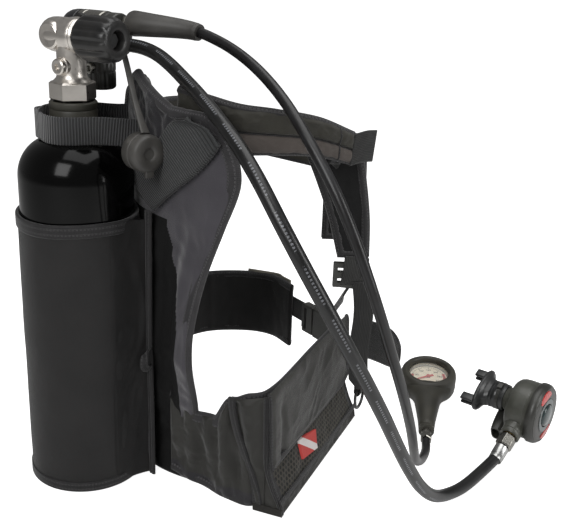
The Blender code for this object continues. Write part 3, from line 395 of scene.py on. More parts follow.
def make_mesh_cloth():
    """Pocket mesh: staggered rows of small dark holes in a fine fabric."""
    mat = principled("mesh_cloth", (0.03, 0.028, 0.022), 0.70, Sheen_Weight=0.12, Sheen_Roughness=0.4)
    nt = mat.node_tree
    u, v = uv_axes(nt)
    pitch = 0.0060
    row = math_node(nt, "FLOOR", math_node(nt, "DIVIDE", v, pitch * 0.80))
    odd = math_node(nt, "MULTIPLY", math_node(nt, "FLOORED_MODULO", row, 2.0), pitch * 0.5)
    shifted = math_node(nt, "ADD", u, odd)
    du = math_node(nt, "SUBTRACT", math_node(nt, "FRACT", math_node(nt, "DIVIDE", shifted, pitch)), 0.5)
    dv = math_node(nt, "SUBTRACT", math_node(nt, "FRACT", math_node(nt, "DIVIDE", v, pitch * 0.80)), 0.5)
    du = math_node(nt, "MULTIPLY", du, 1.25)
    dv = math_node(nt, "MULTIPLY", dv, 1.0)
    far = math_node(nt, "SQRT", math_node(nt, "ADD", math_node(nt, "MULTIPLY", du, du),
                                          math_node(nt, "MULTIPLY", dv, dv)))
    hole = math_node(nt, "LESS_THAN", far, 0.42)
    cloud = noise_node(nt, 60.0, 4.0)
    base = ramp_node(nt, cloud, ((0.3, (0.034, 0.030, 0.022)), (0.7, (0.062, 0.055, 0.042))))
    mix = nt.nodes.new("ShaderNodeMix")
    mix.data_type = "RGBA"
    nt.links.new(hole, mix.inputs["Factor"])
    nt.links.new(base, mix.inputs["A"])
    mix.inputs["B"].default_value = (0.001, 0.001, 0.001, 1.0)
    link(mat, mix.outputs["Result"], "Base Color")
    bump(mat, (math_node(nt, "SUBTRACT", 1.0, hole), 0.0008, 0.8), (cloud, 0.0008, 0.4))
    return mat


MESH = make_mesh_cloth()


# ---------------------------------------------------------------- shapes

class Shape:
    """Collects surfaces with UVs in metres, then makes one object of them."""

    def __init__(self):
        self.verts = []
        self.faces = []
        self.uvs = []
        self.slots = []

    def grid(self, rows, uv_rows, slot=0, wrap=False, flip=False):
        """Skin rows of points; wrap joins the last column to the first."""
        start = len(self.verts)
        width = len(rows[0])
        for row in rows:
            self.verts.extend(Vector(p) for p in row)
        columns = width if wrap else width - 1
        for i in range(len(rows) - 1):
            for j in range(columns):
                n = (j + 1) % width
                ids = [start + i * width + j, start + i * width + n,
                       start + (i + 1) * width + n, start + (i + 1) * width + j]
                corner = [uv_rows[i][j], uv_rows[i][j + 1], uv_rows[i + 1][j + 1], uv_rows[i + 1][j]]
                if flip:
                    ids.reverse()
                    corner.reverse()
                self.faces.append(ids)
                self.uvs.append(corner)
                self.slots.append(slot)

    def fan(self, ring, uv=(0.0, 0.0), slot=0, flip=False):
        """Close a loop with a many-sided face."""
        start = len(self.verts)
        self.verts.extend(Vector(p) for p in ring)
        ids = list(range(start, start + len(ring)))
        if flip:
            ids.reverse()
        self.faces.append(ids)
        self.uvs.append([uv] * len(ring))
        self.slots.append(slot)

    def lathe(self, profile, place, steps=64, slot=0, ribs=None, closed=False, sides=None):
        """Turn (radius, height) pairs about Z; ribs maps (angle, height, radius) to a radius."""
        points = list(profile)
        if closed:
            points.append(points[0])
        rows = []
        uv_rows = []
        travel = 0.0
        last = points[0]
        widest = max(p[0] for p in points)
        for radius, height in points:
            travel += math.hypot(radius - last[0], height - last[1])
            last = (radius, height)
            row = []
            for k in range(steps):
                angle = TAU * k / steps
                r = ribs(angle, height, radius) if ribs else radius
                if sides:
                    sector = TAU / sides
                    within = (angle + sector / 2.0) % sector - sector / 2.0
                    r = radius * math.cos(sector / 2.0) / math.cos(within)
                row.append(place @ Vector((r * math.cos(angle), r * math.sin(angle), height)))
            rows.append(row)
            uv_rows.append([(TAU * widest * k / steps, travel) for k in range(steps + 1)])
        self.grid(rows, uv_rows, slot, wrap=True)

    def tube(self, path, radii, steps=16, slot=0, caps=True):
        """Round tube along a path; radii is one number or one for each point."""
        if isinstance(radii, (int, float)):
            radii = [radii] * len(path)
        sides, rises = carried_frame(path)
        rows = []
        uv_rows = []
        travel = 0.0
        for i, point in enumerate(path):
            if i:
                travel += (path[i] - path[i - 1]).length
            row = []
            for k in range(steps):
                a = TAU * k / steps
                row.append(point + (sides[i] * math.cos(a) + rises[i] * math.sin(a)) * radii[i])
            rows.append(row)
            uv_rows.append([(travel, TAU * radii[i] * k / steps) for k in range(steps + 1)])
        self.grid(rows, uv_rows, slot, wrap=True)
        if caps:
            self.fan(rows[0], slot=slot, flip=True)
            self.fan(rows[-1], slot=slot)

    def sweep(self, path, across, section, slot=0, scale=None):
        """Sweep a closed (across, out) section along a path; across is the width direction at each point."""
        rows = []
        uv_rows = []
        travel = 0.0
        count = len(path)
        lengths = [0.0]
        for a, b in zip(section, section[1:] + section[:1]):
            lengths.append(lengths[-1] + math.hypot(b[0] - a[0], b[1] - a[1]))
        for i, point in enumerate(path):
            if i:
                travel += (path[i] - path[i - 1]).length
            ahead = (path[min(i + 1, count - 1)] - path[max(i - 1, 0)]).normalized()
            side = (across[i] - ahead * across[i].dot(ahead)).normalized()
            out = ahead.cross(side)
            grow = scale(i / (count - 1)) if scale else (1.0, 1.0)
            rows.append([point + side * (x * grow[0]) + out * (y * grow[1]) for x, y in section])
            uv_rows.append([(travel, (section[j % len(section)][0]) * grow[0]) for j in range(len(section) + 1)])
        self.grid(rows, uv_rows, slot, wrap=True)
        self.fan(rows[0], slot=slot, flip=True)
        self.fan(rows[-1], slot=slot, uv=(travel, 0.0))

    def box(self, low, high, place, slot=0, round_off=0.0):
        """Box with rounded edges."""
        bm = bmesh.new()
        bmesh.ops.create_cube(bm, size=1.0)
        size = Vector(high) - Vector(low)
        bmesh.ops.scale(bm, vec=size, verts=bm.verts)
        bmesh.ops.translate(bm, vec=(Vector(high) + Vector(low)) / 2.0, verts=bm.verts)
        if round_off:
            bmesh.ops.bevel(bm, geom=bm.edges[:], offset=round_off, segments=4, affect="EDGES", profile=0.5)
        self.take(bm, place, slot)

    def take(self, bm, place=None, slot=0):
        """Add a bmesh, its UVs from the largest plane of each face."""
        bm.verts.ensure_lookup_table()
        bmesh.ops.recalc_face_normals(bm, faces=bm.faces)
        start = len(self.verts)
        place = place or Matrix.Identity(4)
        self.verts.extend(place @ v.co for v in bm.verts)
        for face in bm.faces:
            self.faces.append([start + v.index for v in face.verts])
            n = [abs(c) for c in face.normal]
            drop = n.index(max(n))
            keep = [k for k in range(3) if k != drop]
            self.uvs.append([(v.co[keep[0]], v.co[keep[1]]) for v in face.verts])
            self.slots.append(slot)
        bm.free()

    def strap(self, path, across, size, slot=0, **more):
        """Sweep flat webbing along a path; size is its width, its thickness and how far in it is set."""
        width, thick, inset = size
        section = [(x, y - inset) for x, y in flat_section(width, thick)]
        self.sweep(path, [across] * len(path), section, slot, **more)

    def make(self, name, body, looks, replaces=(), sharp=40.0, bevel=0.0):
        """Make the object, ride it on its body and let it stand for CAD nodes."""
        mesh = bpy.data.meshes.new(name)
        mesh.from_pydata([tuple(v) for v in self.verts], [], self.faces)
        layer = mesh.uv_layers.new(name="metres")
        k = 0
        for uv in self.uvs:
            for corner in uv:
                layer.data[k].uv = corner
                k += 1
        looks = looks if isinstance(looks, (list, tuple)) else [looks]
        for look in looks:
            mesh.materials.append(look)
        for polygon, index in zip(mesh.polygons, self.slots):
            polygon.material_index = index
        bm = bmesh.new()
        bm.from_mesh(mesh)
        bmesh.ops.remove_doubles(bm, verts=bm.verts, dist=1e-6)
        thin = [f for f in bm.faces if f.calc_area() < 1e-13]
        bmesh.ops.delete(bm, geom=thin, context="FACES")
        bmesh.ops.recalc_face_normals(bm, faces=bm.faces)
        bm.to_mesh(mesh)
        bm.free()
        mesh.shade_smooth()
        mesh.set_sharp_from_angle(angle=math.radians(sharp))
        obj = bpy.data.objects.new(name, mesh)
        bpy.context.scene.collection.objects.link(obj)
        if bevel:
            rounder = obj.modifiers.new("bevel", "BEVEL")
            rounder.width = bevel
            rounder.segments = 3
            rounder.limit_method = "ANGLE"
            rounder.angle_limit = math.radians(35)
        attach(obj, body)
        if replaces:
            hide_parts(*replaces)
        return obj


def carried_frame(path):
    """Side and rise vectors along a path, turned as little as possible."""
    count = len(path)
    ahead = [(path[min(i + 1, count - 1)] - path[max(i - 1, 0)]).normalized() for i in range(count)]
    first = UP if abs(ahead[0].z) < 0.9 else Vector((1.0, 0.0, 0.0))
    side = ahead[0].cross(first).normalized()
    sides = []
    rises = []
    for direction in ahead:
        side = (side - direction * side.dot(direction)).normalized()
        sides.append(side)
        rises.append(side.cross(direction))
    return sides, rises


def curve_through(points, count):
    """Evenly spaced points on a smooth curve through the given ones."""
    pts = [Vector(p) for p in points]
    pts = [pts[0] * 2 - pts[1]] + pts + [pts[-1] * 2 - pts[-2]]
    fine = []
    for k in range(1, len(pts) - 2):
        a, b, c, d = pts[k - 1:k + 3]
        for step in range(24):
            t = step / 24.0
            fine.append(0.5 * (2 * b + (c - a) * t + (2 * a - 5 * b + 4 * c - d) * t ** 2
                               + (3 * b - a - 3 * c + d) * t ** 3))
    fine.append(pts[-2])
    lengths = [0.0]
    for a, b in zip(fine, fine[1:]):
        lengths.append(lengths[-1] + (b - a).length)
    out = []
    k = 0
    for n in range(count):
        target = lengths[-1] * n / (count - 1)
        while k < len(fine) - 2 and lengths[k + 1] < target:
            k += 1
        span = max(lengths[k + 1] - lengths[k], 1e-9)
        out.append(fine[k].lerp(fine[k + 1], (target - lengths[k]) / span))
    return out


def rounded(points, radius, segments=4):
    """Round the corners of an open (x, y) outline."""
    out = [points[0]]
    for before, corner, after in zip(points, points[1:], points[2:]):
        a = Vector(before) - Vector(corner)
        b = Vector(after) - Vector(corner)
        cut = min(radius, a.length * 0.45, b.length * 0.45)
        start = Vector(corner) + a.normalized() * cut
        end = Vector(corner) + b.normalized() * cut
        for k in range(segments + 1):
            t = k / segments
            p = start * (1 - t) ** 2 + Vector(corner) * 2 * t * (1 - t) + end * t ** 2
            out.append((p.x, p.y))
    out.append(points[-1])
    return out


def flat_section(width, thick):
    """Closed section of flat webbing with rounded edges."""
    half = width / 2.0
    r = thick / 2.0
    points = []
    for k in range(9):
        a = math.radians(-90 + 180 * k / 8)
        points.append((half - r + r * math.cos(a), r + r * math.sin(a)))
    for k in range(9):
        a = math.radians(90 + 180 * k / 8)
        points.append((-half + r + r * math.cos(a), r + r * math.sin(a)))
    return points


def basis(origin, x_axis, y_axis, z_axis):
    rows = Matrix((x_axis, y_axis, z_axis)).transposed()
    return Matrix.Translation(origin) @ rows.to_4x4()


def along_x(place, y=0.0, z=0.0):
    return place @ Matrix.Translation((0.0, y, z)) @ Matrix.Rotation(math.radians(90), 4, "Y")


def along_y(place, x=0.0, z=0.0):
    return place @ Matrix.Translation((x, 0.0, z)) @ Matrix.Rotation(math.radians(-90), 4, "X")


def heading(degrees):
    return Vector((math.cos(math.radians(degrees)), math.sin(math.radians(degrees)), 0.0))


HEAD_Z = 0.457
VALVE = Matrix.Translation((0.0, 0.0, HEAD_Z)) @ Matrix.Rotation(math.radians(-53.4), 4, "Z")
OUTLET_X = -0.013
STAGE_Y = 0.056
LP_PORT = (0.0485, -0.0095)
HP_PORT = (0.0615, 0.0095)
DEMAND_C = Vector((0.4860, -0.1310, 0.0465))
NUT_END = -0.0620
INLET_Z = -0.0060
GAUGE_C = Vector((0.4345, 0.0095, 0.0261))
GAUGE_STEM = 0.122
STEM_Z = -0.001


def demand_place():
    out = heading(-60.4)
    inlet = heading(-150.4)
    dip = math.radians(25.0)
    return basis(DEMAND_C, UP * math.sin(dip) - inlet * math.cos(dip), UP * math.cos(dip) + inlet * math.sin(dip), out)


def gauge_place():
    ahead = heading(58.8)
    tilt = math.radians(8.3)
    y_axis = ahead * math.cos(tilt) + UP * math.sin(tilt)
    z_axis = UP * math.cos(tilt) - ahead * math.sin(tilt)
    return basis(GAUGE_C, y_axis.cross(z_axis), y_axis, z_axis)


DEMAND = demand_place()
GAUGE = gauge_place()


# ---------------------------------------------------------------- hoses

LP_D = 0.013
HP_D = 0.010


def make_printed():
    """Hose rubber with a worn row of small pale marks, no letters."""
    mat = rubber("marked_hose", (0.004, 0.004, 0.004), (0.009, 0.009, 0.009), 0.34, 0.10, 900.0)
    nt = mat.node_tree
    u, v = uv_axes(nt)
    row = math_node(nt, "LESS_THAN", math_node(nt, "ABSOLUTE", math_node(nt, "SUBTRACT", v, 0.0058)), 0.00105)
    dash = math_node(nt, "GREATER_THAN", half_sine(nt, u, 0.0031), 0.45)
    thin = math_node(nt, "GREATER_THAN", half_sine(nt, math_node(nt, "ADD", u, math_node(nt, "MULTIPLY", v, 0.7)),
                                                  0.00083), 0.35)
    group = math_node(nt, "GREATER_THAN", half_sine(nt, u, 0.047), 0.18)
    marks = math_node(nt, "MULTIPLY", math_node(nt, "MULTIPLY", row, dash), math_node(nt, "MULTIPLY", thin, group))
    marks = math_node(nt, "MULTIPLY", marks, spread(nt, noise_node(nt, 160.0, 4.0), 0.15, 1.1))
    shader = nt.nodes["Principled BSDF"]
    base = shader.inputs["Base Color"].links[0].from_socket
    mix = nt.nodes.new("ShaderNodeMix")
    mix.data_type = "RGBA"
    nt.links.new(marks, mix.inputs["Factor"])
    nt.links.new(base, mix.inputs["A"])
    mix.inputs["B"].default_value = (0.36, 0.37, 0.40, 1.0)
    nt.links.new(mix.outputs["Result"], shader.inputs["Base Color"])
    return mat


MARKED = make_printed()


def lp_route():
    """Low-pressure hose, the same points as in the CAD."""
    start = VALVE @ Vector((0.0272, *LP_PORT))
    end = DEMAND @ Vector((NUT_END - 0.0006, 0.0, INLET_Z))
    before = DEMAND @ Vector((NUT_END - 0.0150, 0.0, INLET_Z))
    middle = [(0.0660, -0.0075, 0.4463), (0.0750, -0.0260, 0.4425), (0.0810, -0.0500, 0.4360),
              (0.0860, -0.0800, 0.4270), (0.0910, -0.1130, 0.4165), (0.0960, -0.1470, 0.4035),
              (0.1020, -0.1820, 0.3870), (0.1090, -0.2130, 0.3650), (0.1190, -0.2400, 0.3350),
              (0.1330, -0.2590, 0.3020), (0.1500, -0.2700, 0.2680), (0.1690, -0.2740, 0.2330),
              (0.1900, -0.2710, 0.1970), (0.2120, -0.2630, 0.1600), (0.2350, -0.2510, 0.1210),
              (0.2590, -0.2380, 0.0820), (0.2840, -0.2240, 0.0470), (0.3110, -0.2100, 0.0210),
              (0.3400, -0.1970, 0.0092), (0.3700, -0.1850, 0.0074)]
    return [start] + middle + [before, end]


def hp_route():
    """High-pressure hose, the same points as in the CAD."""
    start = VALVE @ Vector((0.0221, *HP_PORT))
    lead = VALVE @ Vector((0.0400, *HP_PORT))
    end = GAUGE @ Vector((0.0, -GAUGE_STEM - 0.0006, STEM_Z))
    before = GAUGE @ Vector((0.0, -GAUGE_STEM - 0.018, STEM_Z))
    middle = [(0.1090, -0.0260, 0.4640), (0.1250, -0.0560, 0.4580), (0.1370, -0.0900, 0.4480),
              (0.1460, -0.1260, 0.4340), (0.1530, -0.1630, 0.4150), (0.1610, -0.1970, 0.3880),
              (0.1710, -0.2240, 0.3570), (0.1820, -0.2420, 0.3220), (0.1940, -0.2520, 0.2850),
              (0.2080, -0.2550, 0.2470), (0.2240, -0.2500, 0.2090), (0.2420, -0.2390, 0.1720),
              (0.2610, -0.2230, 0.1350), (0.2800, -0.2040, 0.0990), (0.2980, -0.1830, 0.0650),
              (0.3150, -0.1620, 0.0360), (0.3305, -0.1440, 0.0180), (0.3470, -0.1270, 0.0080)]
    return [start, lead] + middle + [before, end]


def path_length(path):
    return sum((b - a).length for a, b in zip(path, path[1:]))


def make_hoses():
    lp = curve_through(lp_route(), 260)
    shape = Shape()
    shape.tube(lp, LP_D / 2.0, 24)
    lp_piece = shape.make("low_pressure_hose", "pack", MARKED, ["lp_hose"])
    nut = Shape()
    axis = along_x(DEMAND, 0.0, INLET_Z)
    nut.lathe([(0.0054, NUT_END + 0.0004), (0.0088, NUT_END + 0.0004), (0.0099, NUT_END + 0.0016), (0.0099, -0.0475),
               (0.0090, -0.0462), (0.0054, -0.0462)], axis, 48, sides=6, closed=True)
    nut_piece = nut.make("inlet_nut", "pack", BRIGHT, ["lp_swivel_nut"], 25.0, bevel=0.0004)
    ferrule = Shape()
    ferrule.lathe([(0.0067, NUT_END - 0.0190), (0.0076, NUT_END - 0.0188), (0.0078, NUT_END - 0.0150),
                   (0.0074, NUT_END - 0.0140), (0.0080, NUT_END - 0.0130), (0.0080, NUT_END - 0.0012),
                   (0.0067, NUT_END - 0.0008)], axis, 40, closed=True)
    ferrule_piece = ferrule.make("inlet_ferrule", "pack", STEEL)
    tuple(lp[0])
    path_length(lp)
    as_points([tuple(p) for p in lp[::6]] + [tuple(lp[-1])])

    hp = curve_through(hp_route(), 260)
    shape = Shape()
    shape.tube(hp, HP_D / 2.0, 24)
    hp_piece = shape.make("high_pressure_hose", "pack", HOSE, ["gauge_hose"])
    fine = curve_through(hp_route(), 600)[1:58]
    count = len(fine)
    radii = []
    for i in range(count):
        t = i / (count - 1)
        r = 0.0125 + (0.0080 - 0.0125) * t
        if t > 0.93:
            r = 0.0086 - (t - 0.93) * 0.012
        if t < 0.03:
            r -= 0.0009
        radii.append(r)
    guard = Shape()
    guard.tube(fine, radii, 32)
    guard_piece = guard.make("hose_guard", "pack", GREY_RUBBER, ["gauge_hose_sleeve"])
    swivel = Shape()
    neck = along_y(GAUGE, 0.0, STEM_Z)
    swivel.lathe([(0.0, -0.1220), (0.0064, -0.1220), (0.0071, -0.1210), (0.0071, -0.1150), (0.0064, -0.1140),
                  (0.0, -0.1140)], neck, 36, sides=6)
    swivel.lathe([(0.0, -0.1142), (0.0060, -0.1142), (0.0060, -0.1064), (0.0, -0.1064)], neck, 36)
    swivel_piece = swivel.make("gauge_hose_swivel", "pack", BRIGHT, ["gauge_swivel"], 25.0)
    tuple(hp[0])
    path_length(hp)
    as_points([tuple(p) for p in hp[::6]] + [tuple(hp[-1])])


make_hoses()


# ---------------------------------------------------------------- cylinder, valve and first stage

def make_cylinder():
    base = 0.0034
    profile = [(0.0, base + 0.004), (0.036, base + 0.003), (0.046, base), (0.0525, base), (0.0555, base + 0.004),
               (0.0555, 0.10), (0.0555, 0.20), (0.0555, 0.28), (0.0555, 0.3250)]
    for k in range(1, 19):
        a = math.radians(k * 5.0)
        profile.append((0.0205 + 0.035 * math.cos(a) - 0.0005 * k / 18.0, 0.3250 + 0.0380 * math.sin(a)))
    profile += [(0.0196, 0.3660), (0.0196, 0.3975), (0.0130, 0.3978)]
    shape = Shape()
    shape.lathe(profile, Matrix.Identity(4), 96)
    shape.make("gas_cylinder", "pack", PAINT, ["cylinder_shell"])
    collar = Shape()
    collar.lathe([(0.0198, 0.3640), (0.0222, 0.3648), (0.0228, 0.3700), (0.0228, 0.3880), (0.0220, 0.3900),
                  (0.0228, 0.3912), (0.0228, 0.3960), (0.0215, 0.3974), (0.0198, 0.3974)],
                 Matrix.Identity(4), 64, closed=True)
    collar.make("neck_ring", "pack", SOFT_RUBBER)


def make_valve():
    base = 0.3983
    top = base + 0.0175
    hexagon = Matrix.Rotation(math.radians(-35.4), 4, "Z")
    shape = Shape()
    hex_r = 0.0219
    shape.lathe([(0.0, base), (hex_r - 0.0014, base), (hex_r, base + 0.0014), (hex_r, top - 0.0018),
                 (hex_r - 0.0022, top), (0.0, top)], hexagon, 96, sides=6)
    column = [(0.0185, top - 0.0004), (0.0168, top + 0.0010), (0.0150, top + 0.0030), (0.0140, top + 0.0060),
              (0.0137, top + 0.0100), (0.0137, 0.4500), (0.0137, 0.4570)]
    shape.lathe([(0.0, top - 0.001)] + column + [(0.0, 0.4570)], Matrix.Identity(4), 64)
    dome = [(0.0, -0.0309), (0.0030, -0.0308), (0.0062, -0.0303), (0.0090, -0.0293), (0.0115, -0.0278),
            (0.0136, -0.0256), (0.0150, -0.0230), (0.0159, -0.0198), (0.0163, -0.0160), (0.0164, -0.0120),
            (0.0164, 0.0070), (0.0160, 0.0092), (0.0156, 0.0100), (0.0160, 0.0108), (0.0162, 0.0118),
            (0.0150, 0.0140), (0.0, 0.0141)]
    shape.lathe(dome, along_x(VALVE), 72)
    outlet = along_y(VALVE, OUTLET_X)
    shape.lathe([(0.0, -0.0150), (0.0018, -0.0146), (0.0030, -0.0158), (0.0105, -0.0162), (0.0122, -0.0150),
                 (0.0134, -0.0120), (0.0140, 0.0), (0.0148, 0.0150), (0.0150, 0.0180), (0.0150, 0.0250),
                 (0.0142, 0.0261), (0.0109, 0.0261), (0.0109, 0.0140), (0.0, 0.0140)], outlet, 72)
    plug = along_y(VALVE, 0.0, 0.430 - 0.457)
    shape.lathe([(0.0, 0.0), (0.0088, 0.0), (0.0092, -0.0080), (0.0086, -0.0140), (0.0078, -0.0150), (0.0, -0.0150)],
                plug, 48)
    shape.make("valve_casting", "pack", CHROME, ["valve_body"], 32.0)
    disc = Shape()
    disc.lathe([(0.0, -0.0170), (0.0026, -0.0170), (0.0030, -0.0191), (0.0060, -0.0193), (0.0074, -0.0185),
                (0.0078, -0.0172), (0.0078, -0.0153), (0.0, -0.0153)], plug, 48)
    disc.make("safety_plug", "pack", CHROME, ["burst_disc_plug"], 32.0)

    axis = along_x(VALVE)
    wheel = Shape()
    count = 12

    def ribbed(angle, height, radius):
        depth = 0.0019 * max(0.0, min(1.0, (height - 0.0185) / 0.004)) * max(0.0, min(1.0, (0.0572 - height) / 0.006))
        wave = 0.5 - 0.5 * math.cos(angle * count)
        return radius - depth * (1.0 - wave) ** 2.2 if radius > 0.0150 else radius

    body = [(0.0055, 0.0222), (0.0120, 0.0220), (0.0122, 0.0178), (0.0150, 0.0174), (0.0172, 0.0176),
            (0.0190, 0.0186), (0.0203, 0.0206), (0.0209, 0.0235), (0.0210, 0.0300), (0.0210, 0.0400),
            (0.0209, 0.0470), (0.0204, 0.0515), (0.0193, 0.0548), (0.0176, 0.0570), (0.0150, 0.0578),
            (0.0112, 0.0579), (0.0094, 0.0572), (0.0087, 0.0552), (0.0084, 0.0490), (0.0066, 0.0487)]
    wheel.lathe(body, axis, 240, ribs=ribbed)
    wheel.make("valve_knob", "handwheel", RUBBER, ["valve_handwheel"], 40.0)


def make_first_stage():
    outlet = along_y(VALVE, OUTLET_X)
    axis = along_x(VALVE, STAGE_Y)

    def lobes(angle, height, radius):
        return radius - 0.0012 * (0.5 + 0.5 * math.cos(angle * 9)) if radius > 0.0170 else radius

    grip = Shape()
    grip.lathe([(0.0085, 0.0269), (0.0168, 0.0269), (0.0182, 0.0276), (0.0186, 0.0290), (0.0186, 0.0320),
                (0.0182, 0.0334), (0.0168, 0.0341), (0.0085, 0.0341)], outlet, 144, ribs=lobes, closed=True)
    grip.make("connector_knob", "connector", RUBBER, ["connector_handwheel"])

    body = Shape()
    body.lathe([(0.0121, -0.0339), (0.0183, -0.0339), (0.0194, -0.0330), (0.0194, -0.0272), (0.0188, -0.0266),
                (0.0188, -0.0252), (0.0194, -0.0246), (0.0194, -0.0052), (0.0186, -0.0041), (0.0, -0.0041),
                (0.0, -0.0100), (0.0121, -0.0104)], axis, 72, closed=True)
    body.lathe([(0.0, 0.0351), (0.0088, 0.0351), (0.0090, 0.0360), (0.0090, 0.0450), (0.0, 0.0450)], outlet, 40)
    down = VALVE @ Matrix.Translation((-0.0140, STAGE_Y, 0.0))
    body.lathe([(0.0, -0.0225), (0.0100, -0.0225), (0.0100, -0.0130), (0.0, -0.0130)], down, 40)
    body.make("stage_body", "pack", BRIGHT, ["first_stage_body"], 32.0)

    cap = Shape()
    profile = [(0.0, -0.0559), (0.0040, -0.0558), (0.0080, -0.0553), (0.0115, -0.0543), (0.0145, -0.0526),
               (0.0167, -0.0500), (0.0182, -0.0466), (0.0190, -0.0425), (0.0192, -0.0385), (0.0192, -0.0362),
               (0.0188, -0.0357), (0.0192, -0.0352), (0.0191, -0.0344), (0.0162, -0.0344)]
    cap.lathe(profile, axis, 72)
    cap.make("stage_cap", "pack", rubber("cap_rubber", (0.004, 0.004, 0.005), (0.008, 0.008, 0.009), 0.22, 0.4),
             ["first_stage_cap"])

    block = Shape()
    block.lathe([(0.0, -0.0036), (0.0180, -0.0036), (0.0186, -0.0028), (0.0186, 0.0010), (0.0180, 0.0016),
                 (0.0180, 0.0028), (0.0186, 0.0034), (0.0186, 0.0112), (0.0176, 0.0126), (0.0165, 0.0130),
                 (0.0, 0.0130)], axis, 72)
    block.make("outlet_turret", "pack", PLASTIC, ["port_block"], 32.0)

    def facets(angle, height, radius):
        return radius - 0.0009 * (0.5 + 0.5 * math.cos(angle * 12)) ** 3 if radius > 0.0125 else radius

    chamber = Shape()
    chamber.lathe([(0.0, -0.0570), (0.0100, -0.0569), (0.0120, -0.0564), (0.0138, -0.0552), (0.0144, -0.0538),
                   (0.0144, -0.0400), (0.0140, -0.0396), (0.0140, -0.0384), (0.0144, -0.0380), (0.0144, -0.0250),
                   (0.0134, -0.0229), (0.0, -0.0229)], down, 144, ribs=facets)
    chamber.make("regulating_chamber", "pack", PLASTIC, ["regulating_cap"], 35.0)
    side = along_y(VALVE, -0.0140, -0.0350)
    plug = Shape()
    plug.lathe([(0.0, 0.0400), (0.0014, 0.0400), (0.0022, 0.0384), (0.0030, 0.0375), (0.0044, 0.0374),
                (0.0051, 0.0380), (0.0052, 0.0390), (0.0052, 0.0413), (0.0, 0.0413)], side, 48)
    plug.make("side_plug", "pack", BRIGHT, ["port_plug"], 35.0)
    for name, node, port, radius, end in (("high_pressure_fitting", "gauge_hose_fitting", HP_PORT, 0.0069, 0.0214),
                                          ("low_pressure_fitting", "lp_fitting", LP_PORT, 0.0081, 0.0264)):
        fitting = Shape()
        fitting.lathe([(0.0, 0.0134), (radius - 0.0008, 0.0134), (radius, 0.0142), (radius, end - 0.0050),
                       (radius - 0.0008, end - 0.0042), (0.0, end - 0.0042)], along_x(VALVE, *port), 60, sides=6)
        fitting.lathe([(0.0, end - 0.0044), (radius * 0.80, end - 0.0044), (radius * 0.80, end), (0.0, end)],
                      along_x(VALVE, *port), 40)
        fitting.make(name, "pack", BRIGHT, [node], 28.0)


def make_dust_cap():
    ring = along_x(VALVE, *LP_PORT)
    cap_c = Vector((0.0505, -0.0740, 0.3600))
    aim = heading(-71.3)
    strap = Shape()
    strap.lathe([(0.0088, 0.0186), (0.0098, 0.0186), (0.0102, 0.0190), (0.0102, 0.0240), (0.0098, 0.0244),
                 (0.0088, 0.0244)], ring, 48, closed=True)
    top = VALVE @ Vector((0.0215, LP_PORT[0], LP_PORT[1] - 0.0092))
    route = curve_through([top, (0.0510, -0.0060, 0.4270), (0.0490, -0.0380, 0.4060), (0.0490, -0.0630, 0.3880),
                           cap_c + UP * 0.0176], 40)
    across = [Vector((0.9, 0.45, 0.0))] * len(route)
    strap.sweep(route, across, flat_section(0.0064, 0.0022),
                scale=lambda t: (1.0 + 0.45 * max(0.0, t - 0.75) / 0.25, 1.0))
    strap.make("dust_cap_tether", "dust_cap", GREY_RUBBER, ["dust_cap_strap"])
    place = basis(cap_c, aim.cross(UP), UP, -aim)
    cap = Shape()
    cap.lathe([(0.0, -0.0072), (0.0050, -0.0073), (0.0060, -0.0084), (0.0075, -0.0090), (0.0130, -0.0091),
               (0.0152, -0.0086), (0.0166, -0.0072), (0.0174, -0.0050), (0.0178, -0.0030), (0.0178, 0.0010),
               (0.0172, 0.0016), (0.0172, 0.0026), (0.0178, 0.0032), (0.0178, 0.0122), (0.0172, 0.0130),
               (0.0150, 0.0130), (0.0146, -0.0030), (0.0, -0.0036)], place, 72)
    cap.box((-0.0045, -0.0222, -0.0080), (0.0045, -0.0150, -0.0036), place, round_off=0.0012)
    cap.make("port_dust_cap", "dust_cap", GREY_RUBBER, ["dust_cap"], 38.0)


make_cylinder()
make_valve()
make_first_stage()
make_dust_cap()


# ---------------------------------------------------------------- second stage

def ellipse_loft(shape, sections, place, steps=64, power=2.0):
    """Skin superellipse sections given as (height, x centre, y centre, x radius, y radius)."""
    rows = []
    uv_rows = []
    travel = 0.0
    for k, (height, cx, cy, rx, ry) in enumerate(sections):
        if k:
            travel += abs(height - sections[k - 1][0])
        row = []
        for j in range(steps):
            a = TAU * j / steps
            c, s = math.cos(a), math.sin(a)
            x = cx + rx * math.copysign(abs(c) ** (2.0 / power), c)
            y = cy + ry * math.copysign(abs(s) ** (2.0 / power), s)
            row.append(place @ Vector((x, y, height)))
        rows.append(row)
        uv_rows.append([(TAU * rx * j / steps, travel) for j in range(steps + 1)])
    shape.grid(rows, uv_rows, wrap=True)
    shape.fan(rows[0], flip=True)
    shape.fan(rows[-1])


